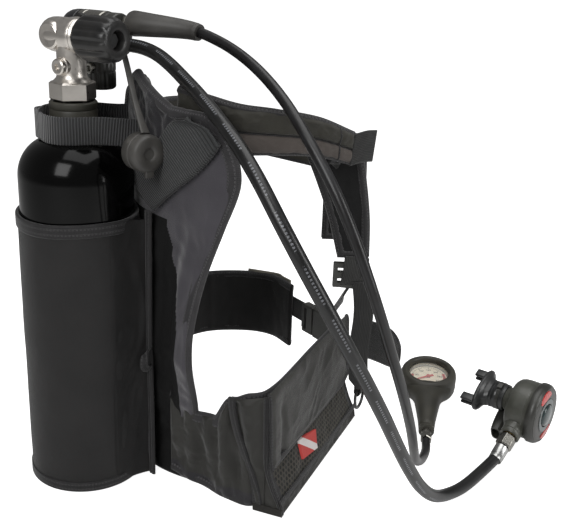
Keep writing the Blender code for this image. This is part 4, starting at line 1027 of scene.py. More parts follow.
def make_second_stage():
    case = Shape()
    profile = [(0.0, -0.0219), (0.0200, -0.0219), (0.0262, -0.0214), (0.0296, -0.0200), (0.0318, -0.0176),
               (0.0330, -0.0140), (0.0335, -0.0090), (0.0335, 0.0020), (0.0330, 0.0026), (0.0330, 0.0042),
               (0.0335, 0.0050), (0.0335, 0.0098), (0.0320, 0.0100), (0.0320, -0.0152), (0.0266, -0.0196),
               (0.0, -0.0194)]
    case.lathe(profile, DEMAND, 96)
    neck = DEMAND @ Matrix.Translation((0.0, 0.007, 0.0))
    ellipse_loft(case, [(-0.0419, 0, 0, 0.0124, 0.0124), (-0.0412, 0, 0, 0.0125, 0.0125),
                        (-0.0330, 0, 0, 0.0125, 0.0125), (-0.0290, 0, -0.0002, 0.0131, 0.0129),
                        (-0.0255, 0, -0.0008, 0.0150, 0.0140), (-0.0228, 0, -0.0016, 0.0186, 0.0160),
                        (-0.0205, 0, -0.0020, 0.0230, 0.0180)], neck, 64)
    inlet = along_x(DEMAND, 0.0, INLET_Z)
    case.lathe([(0.0086, -0.0449), (0.0106, -0.0449), (0.0113, -0.0440), (0.0114, -0.0412), (0.0108, -0.0406),
                (0.0108, -0.0394), (0.0114, -0.0388), (0.0116, -0.0350), (0.0122, -0.0330), (0.0128, -0.0318),
                (0.0, -0.0316)], inlet, 56)
    case.make("demand_case", "second_stage", rubber("case_plastic", (0.052, 0.053, 0.044), (0.082, 0.083, 0.071),
                                                    0.34, 0.12, 1500.0),
              ["second_stage_case"], 36.0)

    cover = Shape()
    rim = [(0.0338, 0.0063), (0.0350, 0.0063), (0.0355, 0.0070), (0.0355, 0.0112), (0.0351, 0.0134),
           (0.0341, 0.0152), (0.0326, 0.0165), (0.0306, 0.0174), (0.0280, 0.0179), (0.0230, 0.0183),
           (0.0160, 0.0185), (0.0140, 0.0184), (0.0136, 0.0178), (0.0136, 0.0162), (0.0200, 0.0158),
           (0.0300, 0.0148), (0.0336, 0.0114), (0.0338, 0.0103)]
    cover.lathe(rim, DEMAND, 96, closed=True)
    for turn in (78.0, 258.0):
        rows = []
        uv_rows = []
        for k in range(25):
            a = math.radians(turn + 30.0 * (k / 24.0 - 0.5) * 2.0)
            edge = math.sin(math.pi * k / 24.0) ** 0.5
            row = []
            for r, h in ((0.0262 - 0.0054 * edge, 0.0180), (0.0262 - 0.0048 * edge, 0.0191), (0.0262, 0.0190),
                         (0.0262 + 0.0048 * edge, 0.0182), (0.0262 + 0.0054 * edge, 0.0170)):
                row.append(DEMAND @ Vector((r * math.cos(a), r * math.sin(a), h)))
            rows.append(row)
            uv_rows.append([(0.025 * a, 0.001 * j) for j in range(5)])
        cover.grid(rows, uv_rows, 1)
    for ring_r in (0.0318, 0.0206):
        cover.lathe([(ring_r - 0.0007, 0.0172), (ring_r - 0.0004, 0.0186 - (ring_r - 0.0206) * 0.10),
                     (ring_r + 0.0004, 0.0186 - (ring_r - 0.0206) * 0.10), (ring_r + 0.0007, 0.0165)], DEMAND, 96)
    cover.lathe([(0.0139, 0.0182), (0.0141, 0.0190), (0.0160, 0.0192), (0.0196, 0.0190), (0.0198, 0.0180)],
                DEMAND, 96, 2)
    cover.make("demand_cover", "second_stage", [PLASTIC, RED, GLOSS], ["second_stage_cover"], 38.0)
    button = Shape()
    button.lathe([(0.0, 0.0121), (0.0154, 0.0121), (0.0154, 0.0147), (0.0130, 0.0149), (0.0130, 0.0180),
                  (0.0127, 0.0192), (0.0118, 0.0203), (0.0100, 0.0211), (0.0070, 0.0216), (0.0035, 0.0219),
                  (0.0, 0.0220)], DEMAND, 72)
    button.make("purge_cap", "purge", GLOSS, ["purge_button"], 38.0)

    tee = Shape()
    rows = []
    uv_rows = []
    for k in range(33):
        t = -1.0 + 2.0 * k / 32.0
        x = 0.0329 * t
        drop = 0.0035 * t * t
        top = -0.0104 - 0.0016 * t * t
        low = -0.0322 + 0.0030 * (1.0 - t * t)
        back = -0.0398 + drop
        front = -0.0242
        row = []
        for j in range(32):
            a = TAU * j / 32
            c, s = math.cos(a), math.sin(a)
            y = (top + low) / 2 + (top - low) / 2 * math.copysign(abs(s) ** 0.55, s)
            z = (front + back) / 2 + (front - back) / 2 * math.copysign(abs(c) ** 0.55, c)
            row.append(DEMAND @ Vector((x, y, z)))
        rows.append(row)
        uv_rows.append([(x, 0.02 * j / 32) for j in range(33)])
    tee.grid(rows, uv_rows, wrap=True)
    inner = []
    for row, inward in ((rows[0], 1), (rows[-1], -1)):
        centre = sum(row, Vector()) / len(row)
        shift = (DEMAND.to_3x3() @ Vector((inward, 0, 0))) * 0.010
        lip = [p.lerp(centre, 0.20) for p in row]
        deep = [p.lerp(centre, 0.24) + shift for p in row]
        flat_uv = [(0.0, 0.001 * j) for j in range(33)]
        tee.grid([row, lip, deep], [flat_uv] * 3, wrap=True, flip=inward < 0)
        inner.append(deep)
    for ring in inner:
        tee.fan(ring)
    tee.make("exhaust_whiskers", "second_stage", PLASTIC, ["exhaust_tee"], 40.0)

    mouth = Shape()
    sections = []
    for height, radius in ((-0.0291, 0.0150), (-0.0330, 0.0152), (-0.0344, 0.0150), (-0.0382, 0.0150),
                           (-0.0396, 0.0158), (-0.0420, 0.0158), (-0.0428, 0.0150), (-0.0438, 0.0150),
                           (-0.0446, 0.0158), (-0.0462, 0.0159), (-0.0470, 0.0151), (-0.0480, 0.0152),
                           (-0.0490, 0.0162), (-0.0510, 0.0166)):
        flat = 1.0 - 0.30 * max(0.0, min(1.0, (-0.040 - height) / 0.012))
        sections.append((height, 0.0, 0.0, radius * (1.0 + (1.0 - flat) * 0.35), radius * flat))
    sections += [(-0.0540, 0.0, 0.0, 0.0215, 0.0130), (-0.0558, 0.0, 0.0, 0.0262, 0.0152),
                 (-0.0578, 0.0, 0.0, 0.0284, 0.0168), (-0.0600, 0.0, 0.0, 0.0286, 0.0168),
                 (-0.0612, 0.0, 0.0, 0.0276, 0.0158), (-0.0606, 0.0, 0.0, 0.0230, 0.0120),
                 (-0.0600, 0.0, 0.0, 0.0190, 0.0090), (-0.0600, 0.0, 0.0, 0.0150, 0.0070),
                 (-0.0520, 0.0, 0.0, 0.0130, 0.0080)]
    ellipse_loft(mouth, sections, neck, 72, power=2.2)
    for side in (-1, 1):
        mouth.box((side * 0.0195 - 0.0052, -0.0052, -0.0778), (side * 0.0195 + 0.0052, -0.0016, -0.0590), neck,
                  round_off=0.0014)
        mouth.box((side * 0.0195 - 0.0052, 0.0016, -0.0778), (side * 0.0195 + 0.0052, 0.0052, -0.0590), neck,
                  round_off=0.0014)
        mouth.box((side * 0.0195 - 0.0024, -0.0040, -0.0700), (side * 0.0195 + 0.0024, 0.0040, -0.0590), neck,
                  round_off=0.0012)
    mouth.make("bite_mouthpiece", "second_stage", SILICONE, ["mouthpiece"], 45.0)


def text_shape(shape, text, size, place, depth=0.0003, slot=0):
    """Add raised figures, centred at the place."""
    data = bpy.data.curves.new("figures", "FONT")
    data.body = text
    data.size = size
    data.extrude = depth
    data.align_x = "CENTER"
    data.align_y = "CENTER"
    data.resolution_u = 3
    obj = bpy.data.objects.new("figures", data)
    bpy.context.scene.collection.objects.link(obj)
    bpy.context.view_layer.update()
    mesh = bpy.data.meshes.new_from_object(obj.evaluated_get(bpy.context.evaluated_depsgraph_get()))
    bm = bmesh.new()
    bm.from_mesh(mesh)
    shape.take(bm, place, slot)
    bpy.data.objects.remove(obj, do_unlink=True)
    bpy.data.curves.remove(data)
    bpy.data.meshes.remove(mesh)


def make_gauge():
    boot = Shape()
    profile = [(0.0, -0.0164), (0.0280, -0.0164), (0.0312, -0.0158), (0.0332, -0.0140), (0.0345, -0.0110),
               (0.0350, -0.0060), (0.0350, 0.0060), (0.0347, 0.0092), (0.0338, 0.0120), (0.0322, 0.0141),
               (0.0300, 0.0153), (0.0276, 0.0155), (0.0262, 0.0148), (0.0252, 0.0128), (0.0249, 0.0100),
               (0.0249, 0.0088), (0.0249, 0.0060)]
    boot.lathe(profile, GAUGE, 96)
    neck = along_y(GAUGE, 0.0, STEM_Z)
    sections = []
    for height, rx, ry in ((-0.1059, 0.0080, 0.0080), (-0.1052, 0.0092, 0.0092), (-0.1010, 0.0093, 0.0093),
                           (-0.0992, 0.0086, 0.0086), (-0.0974, 0.0096, 0.0096), (-0.0940, 0.0098, 0.0098),
                           (-0.0850, 0.0106, 0.0104), (-0.0700, 0.0126, 0.0120), (-0.0560, 0.0146, 0.0132),
                           (-0.0460, 0.0162, 0.0140), (-0.0390, 0.0184, 0.0145), (-0.0340, 0.0214, 0.0148),
                           (-0.0300, 0.0250, 0.0150), (-0.0262, 0.0285, 0.0150), (-0.0220, 0.0300, 0.0148)):
        sections.append((height, 0.0, -0.0002 if height < -0.04 else 0.0006, rx, ry))
    ellipse_loft(boot, sections, neck, 72, power=2.15)
    boot.make("gauge_jacket", "gauge", SOFT_RUBBER, ["gauge_boot"], 42.0)

    dial = Shape()
    dial.lathe([(0.0015, 0.0029), (0.0234, 0.0029), (0.0235, 0.0034), (0.0233, 0.0036), (0.0015, 0.0036)], GAUGE, 72,
               closed=True)
    top = 0.00365
    for k in range(61):
        a = math.radians(210.0 - 240.0 * k / 60.0)
        long = 0.0034 if k % 10 == 0 else 0.0018
        place = GAUGE @ Matrix.Rotation(a, 4, "Z") @ Matrix.Translation((0.0212 - long / 2.0, 0.0, top))
        half = 0.00028 if k % 10 == 0 else 0.00014
        dial.box((-long / 2.0, -half, -0.0001), (long / 2.0, half, 0.0001), place, 1)
    for first, last in ((0, 10), (46, 60)):
        rows = []
        uv_rows = []
        for k in range(first * 2, last * 2 + 1):
            a = math.radians(210.0 - 240.0 * k / 120.0)
            rows.append([GAUGE @ Vector((r * math.cos(a), r * math.sin(a), top + 0.00004)) for r in (0.0186, 0.0222)])
            uv_rows.append([(0.02 * a, 0.0), (0.02 * a, 0.0036)])
        dial.grid(rows, uv_rows, 2)
    for k in range(7):
        a = math.radians(210.0 - 240.0 * k / 6.0)
        place = GAUGE @ Matrix.Translation((0.0146 * math.cos(a), 0.0146 * math.sin(a), top))
        text_shape(dial, str(k * 50), 0.0042, place, 0.00012, 1)
    dial.make("gauge_scale", "gauge", [CREAM, INK, DIAL_RED], ["gauge_dial"], 30.0)
    glass = Shape()
    glass.lathe([(0.0, 0.0072), (0.0234, 0.0068), (0.0235, 0.0072), (0.0232, 0.0078), (0.0160, 0.0082),
                 (0.0080, 0.0084), (0.0, 0.0084)], GAUGE, 72)
    glass.make("gauge_glass", "gauge", LENS, ["gauge_lens"])


make_second_stage()
make_gauge()


def dress(node, look):
    """Give a kept CAD node a better material."""
    for slot in bpy.data.objects[node].material_slots:
        slot.material = look


for node_name in ("valve_bonnet", "connector_stem"):
    dress(node_name, BRIGHT)
dress("handwheel_screw", INK)
for node_name in ("valve_spindle", "piston_spring", "demand_lever", "gauge_case", "d_ring"):
    dress(node_name, STEEL)
for node_name in ("piston", "air_barrel"):
    dress(node_name, BRASS)
for node_name in ("poppet", "mouthpiece_tie"):
    dress(node_name, PLASTIC)
for node_name in ("diaphragm", "exhaust_valve"):
    dress(node_name, SILICONE)
dress("gauge_needle", DIAL_RED)


# ---------------------------------------------------------------- soft goods

def fade(x, low, high):
    """Smooth step from 0 at low to 1 at high."""
    t = max(0.0, min(1.0, (x - low) / (high - low)))
    return t * t * (3.0 - 2.0 * t)


def mix(a, b, t):
    return a + (b - a) * t


def read_curve(stops, x):
    """Smooth value of (place, value) stops at x."""
    if x <= stops[0][0]:
        return stops[0][1]
    for (x0, y0), (x1, y1) in zip(stops, stops[1:]):
        if x <= x1:
            return mix(y0, y1, fade(x, x0, x1))
    return stops[-1][1]


def spline_value(stops, x):
    """Value of a smooth curve through (place, value) stops."""
    k = 0
    while k < len(stops) - 2 and x > stops[k + 1][0]:
        k += 1
    (x0, y0), (x1, y1) = stops[k], stops[k + 1]
    before = stops[k - 1] if k else (2 * x0 - x1, 2 * y0 - y1)
    after = stops[k + 2] if k + 2 < len(stops) else (2 * x1 - x0, 2 * y1 - y0)
    span = x1 - x0
    slope0 = (y1 - before[1]) / (x1 - before[0]) * span
    slope1 = (after[1] - y0) / (after[0] - x0) * span
    t = max(0.0, min(1.0, (x - x0) / span))
    return ((2 * t ** 3 - 3 * t * t + 1) * y0 + (t ** 3 - 2 * t * t + t) * slope0
            + (3 * t * t - 2 * t ** 3) * y1 + (t ** 3 - t * t) * slope1)


def crumple(p, size, seed=0.0, stretch=(1.0, 1.0, 1.0)):
    """Creased cloth relief, about -0.5 to 0.5, from warped folded noise."""
    q = Vector((p.x * stretch[0], p.y * stretch[1], p.z * stretch[2])) / size
    q += Vector((seed, seed * 1.7, seed * 0.6))
    broad = q * 0.6
    q += 0.7 * Vector((noise.noise(broad), noise.noise(broad + Vector((31.4, 2.7, 8.1))),
                       noise.noise(broad + Vector((6.3, 47.9, 15.2)))))
    wide = 1.0 - 2.0 * abs(noise.noise(q))
    narrow = 1.0 - 2.0 * abs(noise.noise(q * 2.3 + Vector((5.0, 2.0, 9.0))))
    return 0.65 * wide + 0.35 * narrow - 0.55


def slab(shape, surface, nu, nv, thick, relief=None, side=1.0, slot=0, back_slot=None):
    """Padded cloth solid on a surface(u, v); it shows its outer face on the given side and is closed all round."""
    grid = [[surface(i / nu, j / nv) for j in range(nv + 1)] for i in range(nu + 1)]
    along = [0.0]
    for i in range(nu):
        along.append(along[-1] + (grid[i + 1][nv // 2] - grid[i][nv // 2]).length)
    across = [0.0]
    for j in range(nv):
        across.append(across[-1] + (grid[nu // 2][j + 1] - grid[nu // 2][j]).length)
    half = thick / 2.0
    reach = max(half, 1e-5)
    slots = slot if callable(slot) else (lambda u, v: slot)
    front = []
    back = []
    middle = []
    uvs = []
    for i in range(nu + 1):
        rows = ([], [], [])
        for j in range(nv + 1):
            p = grid[i][j]
            du = grid[min(i + 1, nu)][j] - grid[max(i - 1, 0)][j]
            dv = grid[i][min(j + 1, nv)] - grid[i][max(j - 1, 0)]
            normal = du.cross(dv).normalized() * side
            edge = min(along[i], along[-1] - along[i], across[j], across[-1] - across[j])
            rim = math.sqrt(max(0.0, 1.0 - (1.0 - min(edge / reach, 1.0)) ** 2))
            lift = relief(p, i / nu, j / nv) * fade(edge, 0.0, max(0.006, reach)) if relief else 0.0
            core = p - normal * half
            rows[0].append(core + normal * (half * rim + lift))
            rows[1].append(core - normal * half * rim + normal * lift * 0.5)
            rows[2].append(core)
        front.append(rows[0])
        back.append(rows[1])
        middle.append(rows[2])
        uvs.append([(along[i], across[j]) for j in range(nv + 1)])
    flip = side < 0
    back_slot = back_slot if back_slot is not None else (slots(0.5, 0.5))
    for rows, turned, is_front in ((front, flip, True), (back, not flip, False)):
        start = len(shape.verts)
        for row in rows:
            shape.verts.extend(row)
        width = nv + 1
        for i in range(nu):
            for j in range(nv):
                ids = [start + i * width + j, start + i * width + j + 1,
                       start + (i + 1) * width + j + 1, start + (i + 1) * width + j]
                corner = [uvs[i][j], uvs[i][j + 1], uvs[i + 1][j + 1], uvs[i + 1][j]]
                if turned:
                    ids.reverse()
                    corner.reverse()
                shape.faces.append(ids)
                shape.uvs.append(corner)
                shape.slots.append(slots((i + 0.5) / nu, (j + 0.5) / nv) if is_front else back_slot)
    return front, middle


def tape_along(shape, edge, inward, width, thick, slot=0, lap=0.0009):
    """Folded edge tape on a line of mid-surface points; inward points into the cloth."""
    path = [p + w.normalized() * (width / 2.0 - lap) for p, w in zip(edge, inward)]
    section = [(x, y - thick / 2.0) for x, y in flat_section(width, thick)]
    shape.sweep(path, inward, section, slot)


def line_of(rows, index):
    """Edge points and inward directions of a slab's middle rows: u0, u1, v0 or v1."""
    if index == "v0":
        edge = [row[0] for row in rows]
        inner = [row[2] - row[0] for row in rows]
    elif index == "v1":
        edge = [row[-1] for row in rows]
        inner = [row[-3] - row[-1] for row in rows]
    elif index == "u0":
        edge = list(rows[0])
        inner = [b - a for a, b in zip(rows[0], rows[2])]
    else:
        edge = list(rows[-1])
        inner = [b - a for a, b in zip(rows[-1], rows[-3])]
    return edge, inner


POUCH_R = 0.0590
PIPE_Y = -0.0430
PIPE_X = 0.0640


def bind_edges(shape, middle, names, width, thick, slot, lap=0.0009, trim=slice(None)):
    """Tape the named edges of a slab; trim leaves out the ends of each."""
    for name in names:
        edge, inner = line_of(middle, name)
        tape_along(shape, edge[trim], inner[trim], width, thick, slot, lap)


def make_pouch():
    """Fabric sleeve of the cylinder, with a bound rim, a side gusset and a lower seam."""
    shape = Shape()
    rows = []
    uv_rows = []
    heights = [0.0] + [0.0018 + 0.2872 * k / 110.0 for k in range(111)]
    columns = 180
    for z in heights:
        row = []
        for k in range(columns):
            a = TAU * k / columns
            base = Vector((math.cos(a), math.sin(a), 0.0))
            p = base * POUCH_R + UP * z
            r = POUCH_R - 0.0003
            pull = fade(z, 0.0, 0.03) * fade(0.289 - z, 0.0, 0.02)
            r += pull * (0.0010 * crumple(p, 0.075, 3.0, (1.0, 1.0, 0.45)) - 0.0002)
            r += 0.0006 * pull * noise.noise(Vector((p.x * 9.0, p.y * 9.0, p.z * 3.0)))
            if z < 0.0018:
                r = 0.0560
            row.append(base * max(r, 0.0560) + UP * z)
        rows.append(row)
        uv_rows.append([(TAU * POUCH_R * k / columns, z) for k in range(columns + 1)])
    shape.grid(rows, uv_rows, 0, wrap=True)
    shape.fan(rows[0], slot=0)
    inside = [[p * (0.0561 / math.hypot(p.x, p.y)) + UP * (z - p.z * (0.0561 / math.hypot(p.x, p.y))) for p in rows[-1]]
              for z in (0.2890, 0.2600)]
    shape.grid([rows[-1]] + inside, [uv_rows[-1]] * 3, 0, wrap=True)
    rim = []
    for k in range(181):
        a = TAU * k / 180
        rim.append(Vector((math.cos(a), math.sin(a), 0.0)) * 0.0581 + UP * (0.2832 + 0.0008 * math.sin(a * 3.0)))
    shape.strap(rim, UP, (0.0135, 0.0034, 0.0016), 1)
    foot = [Vector((math.cos(TAU * k / 180), math.sin(TAU * k / 180), 0.0)) * 0.0586 + UP * 0.0065 for k in range(181)]
    shape.strap(foot, UP, (0.0110, 0.0020, 0.0010), 1)

    def gusset(u, v):
        start = Vector((0.0198, -0.0560, 0.0))
        end = Vector((PIPE_X, PIPE_Y, 0.0))
        p = start.lerp(end, u)
        dip = math.sin(math.pi * u) * 0.0035
        return Vector((p.x - 0.274 * dip, p.y + 0.962 * dip, 0.0020 + 0.2850 * v))

    slab(shape, gusset, 24, 90, 0.0016, lambda p, u, v: 0.0022 * crumple(p, 0.035, 8.0, (1.0, 1.0, 0.5)), side=1.0,
         slot=2)
    shape.make("cylinder_sleeve", "pack", [POUCH, TAPE, DARK_NYLON], ["cylinder_pouch"], 50.0)
    return shape


PANEL_LEVELS = ((0.000, 0.098, 0.074), (0.060, 0.099, 0.080), (0.100, 0.092, 0.094), (0.150, 0.080, 0.110),
                (0.180, 0.080, 0.110), (0.210, 0.085, 0.110), (0.250, 0.094, 0.115), (0.300, 0.106, 0.131),
                (0.340, 0.114, 0.147), (0.360, 0.113, 0.148), (0.385, 0.106, 0.139), (0.425, 0.094, 0.119))
PANEL_T = 0.008


def panel_point(share, z):
    """A point of the panel's outer face; share runs from -1 at the wearer's right to 1."""
    edge_x = spline_value([(level[0], level[1]) for level in PANEL_LEVELS], z)
    edge_y = spline_value([(level[0], level[2]) for level in PANEL_LEVELS], z)
    size = abs(share)
    dip = 0.024 * min(1.0, size / 0.6) * fade(z, 0.385, 0.425)
    return Vector((0.0605 + (edge_x - 0.0605) * size * size, edge_y * share, z - dip))


def corduroy_line(side, t):
    """Share and height along the ribbed band's upper (0) or lower (1) edge."""
    upper = (mix(-0.87, -0.02, t), mix(0.4230, 0.3180, t))
    lower = (mix(-0.965, -0.41, t), mix(0.3790, 0.2990, t))
    return mix(upper[0], lower[0], side), mix(upper[1], lower[1], side)


# Top and sides of the panel's sunk strip, which is painted near-black as shade.
PAINTED_SHADE_TOP = 0.292
PAINTED_SHADE_EDGE = ((0.06, 0.84), (0.18, 0.84), (0.225, 0.76), (0.26, 0.60), (PAINTED_SHADE_TOP, 0.50))


def make_panel():
    """Padded back panel with a ribbed diagonal band, a sunk strip painted near-black as shade, and bound free edges."""
    shape = Shape()

    def surface(u, v):
        return panel_point(-1.0 + 2.0 * v, 0.425 * u)

    def below_band(share, z):
        t = max(0.0, min(1.0, (0.965 - abs(share)) / 0.555))
        return z < mix(0.3790, 0.2990, t)

    def relief(p, u, v):
        share = abs(-1.0 + 2.0 * v)
        z = 0.425 * u
        reach = max(0.0, min(1.0, (0.965 - share) / 0.965))
        ridge = mix(0.4260, 0.3160, reach)
        top = fade(z, ridge - 0.004, ridge + 0.012)
        rough = top * (0.0050 * crumple(p, 0.050, 1.0, (1.0, 1.3, 0.8)) + 0.0026 * crumple(p, 0.022, 4.0))
        middle = (1.0 - top) * (0.0008 + 0.0022 * (1.0 - fade(z, 0.27, 0.33))) * crumple(p, 0.060, 2.0)
        sunk = (fade(z, 0.09, 0.15) * (1.0 - fade(z, 0.25, 0.30)) * (1.0 - fade(share, 0.66, 0.80))
                * fade(share, 0.36, 0.5))
        padded = fade(share, 0.66, 0.84) * 0.0022 * (1.0 - fade(z, 0.30, 0.36))
        low = (1.0 - fade(z, 0.06, 0.15)) * (0.0040 * crumple(p, 0.040, 6.0, (1.0, 1.6, 0.6)))
        return rough + middle + padded + low - 0.0045 * sunk

    def zone(u, v):
        share = -1.0 + 2.0 * v
        z = 0.425 * u
        if z > 0.385 or not below_band(share, z):
            return 0
        # Slot 2 paints the sunk strip near-black: painted shade between the padded edge and the sleeve.
        if z < PAINTED_SHADE_TOP and abs(share) < read_curve(PAINTED_SHADE_EDGE, z):
            return 2
        return 1

    _, middle = slab(shape, surface, 150, 150, PANEL_T - 0.0015, relief, side=1.0, slot=zone, back_slot=0)
    bind_edges(shape, middle, ("v0", "v1"), 0.0145, PANEL_T + 0.0002, 3, trim=slice(2, -1))
    bind_edges(shape, middle, ("u1", "u0"), 0.0120, PANEL_T + 0.0001, 3)
    shape.make("back_pad", "pack", [NYLON, SMOOTH, PAINTED_SHADE_NYLON, WIDE_TAPE], ["back_panel"], 60.0)

    band = Shape()
    for mirror in (1.0, -1.0):
        def ribbed(u, v):
            share, z = corduroy_line(v, u)
            p = panel_point(share * mirror, z)
            normal = panel_normal(share * mirror, z)
            return p + normal * 0.0044

        slab(band, ribbed, 90, 30, 0.0034, lambda p, u, v: 0.0012 * crumple(p, 0.07, 3.0), side=-mirror, slot=0)
        for row in (0.035, 0.965):
            seam = []
            for k in range(61):
                share, z = corduroy_line(row, k / 60.0)
                seam.append(panel_point(share * mirror, z) + panel_normal(share * mirror, z) * 0.0046)
            across = [Vector((0.0, 0.3, 1.0))] * len(seam)
            band.sweep(seam, across, [(x, y - 0.0006) for x, y in flat_section(0.0050, 0.0014)], 1)
    band.make("ribbed_bands", "pack", [CORDUROY, TAPE], sharp=60.0)


def panel_normal(share, z):
    """Outward direction of the panel, towards the cylinder."""
    a = panel_point(min(share + 0.02, 1.0), z) - panel_point(max(share - 0.02, -1.0), z)
    b = panel_point(share, z + 0.004) - panel_point(share, z - 0.004)
    return a.cross(b).normalized() * (-1.0 if a.cross(b).x > 0 else 1.0)


def make_corduroy():
    """Ribbed fabric: raised ribs across the band, 3 mm apart; its colour follows the ribs, tops painted lighter and
    grooves darker as painted shade, with random tone.
    """
    mat = principled("corduroy", (0.02, 0.02, 0.02), 0.66, Sheen_Weight=0.12, Sheen_Roughness=0.4)
    nt = mat.node_tree
    u, v = uv_axes(nt)
    ribs = half_sine(nt, u, 0.0030)
    threads = half_sine(nt, v, 0.0010)
    tone = math_node(nt, "ADD", math_node(nt, "MULTIPLY", ribs, 0.8),
                     math_node(nt, "MULTIPLY", noise_node(nt, 70.0, 4.0), 0.35))
    link(mat, ramp_node(nt, tone, ((0.20, (0.002, 0.002, 0.002)), (0.95, (0.028, 0.030, 0.031)))), "Base Color")
    bump(mat, (ribs, 0.0012, 0.9), (threads, 0.0002, 0.5))
    return mat


CORDUROY = make_corduroy()
SMOOTH = fabric("smooth_nylon", (0.030, 0.027, 0.034), (0.056, 0.052, 0.062), 0.60, crease=0.0012, sheen=0.5)
# Near-black nylon: painted shade on the panel's sunk strip.
PAINTED_SHADE_NYLON = fabric("painted_shade_nylon", (0.0010, 0.0010, 0.0010), (0.0028, 0.0026, 0.0028), 0.80, sheen=0.0)


def make_piping():
    """Upright double-grooved piping between the sleeve's gusset and the panel, on both sides."""
    shape = Shape()
    for mirror in (-1.0, 1.0):
        points = []
        for z, x, y in ((0.002, 0.0650, 0.0455), (0.060, 0.0650, 0.0450), (0.120, 0.0645, 0.0435),
                        (0.150, 0.0640, 0.0425), (0.200, 0.0640, 0.0440), (0.250, 0.0645, 0.0450),
                        (0.296, 0.0650, 0.0460)):
            points.append((x - 0.0055, y * mirror, z))
        path = curve_through(points, 90)
        across = [Vector((0.30, 1.0 * mirror, 0.0)).normalized() * mirror] * len(path)
        section = []
        for k in range(30):
            a = TAU * k / 30
            x = 0.0056 * math.cos(a)
            y = 0.0026 * math.sin(a)
            section.append((x, y * (1.0 - 0.45 * math.exp(-(abs(abs(x) - 0.0022) / 0.0007) ** 2))))
        shape.sweep(path, across, section, 0)
    loop = curve_through([(0.0570, -0.0500, 0.1500), (0.0520, -0.0560, 0.1480), (0.0500, -0.0560, 0.1380),
                          (0.0530, -0.0520, 0.1300), (0.0590, -0.0480, 0.1280)], 30)
    shape.strap(loop, Vector((0.5, -0.2, 0.9)), (0.0080, 0.0016, 0.0008))
    shape.make("panel_piping", "pack", [TAPE], sharp=50.0)


def make_neck_strap():
    """Ribbed strap round the cylinder's neck, with its folded end."""
    r = 0.0318
    arc = [(-r * math.cos(math.radians(a)), -r * math.sin(math.radians(a))) for a in range(-90, 91, 15)]
    route = [(0.0590, r), (0.0300, r)] + arc + [(0.0300, -r), (0.0590, -r)]
    path = []
    for p in curve_through([(x, y, 0.3752) for x, y in route], 140):
        lean = 0.0018 * math.sin(p.y * 60.0) - 0.0035 * fade(p.x, 0.010, 0.055)
        path.append(Vector((p.x, p.y, p.z + lean)))
    shape = Shape()
    section = [(x, y - 0.0010) for x, y in flat_section(0.0265, 0.0024)]
    shape.sweep(path, [UP] * len(path), section, 0)
    tab = curve_through([(-0.0318, -0.0040, 0.3765), (-0.0340, 0.0040, 0.3760), (-0.0336, 0.0130, 0.3755),
                         (-0.0290, 0.0200, 0.3750)], 20)
    shape.strap(tab, UP, (0.0285, 0.0028, 0.0012))
    shape.make("neck_band", "pack", [RIBBED], ["neck_strap"], 50.0)


def strap_surface(route, width, across, end_width=None):
    """Surface(u, v) of a strap: u along the route, v across; it may taper."""
    path = curve_through(route, 120)
    way = Vector(across).normalized()

    def surface(u, v):
        at = u * (len(path) - 1)
        k = min(int(at), len(path) - 2)
        p = path[k].lerp(path[k + 1], at - k)
        return p + way * (mix(width, end_width or width, u) * (v - 0.5))

    return surface


STRAP_ROWS = 130
STRAP_COLUMNS = 44
STRAP_SEAM = 0.47  # where the seam of the near strap lies, as a share of its width


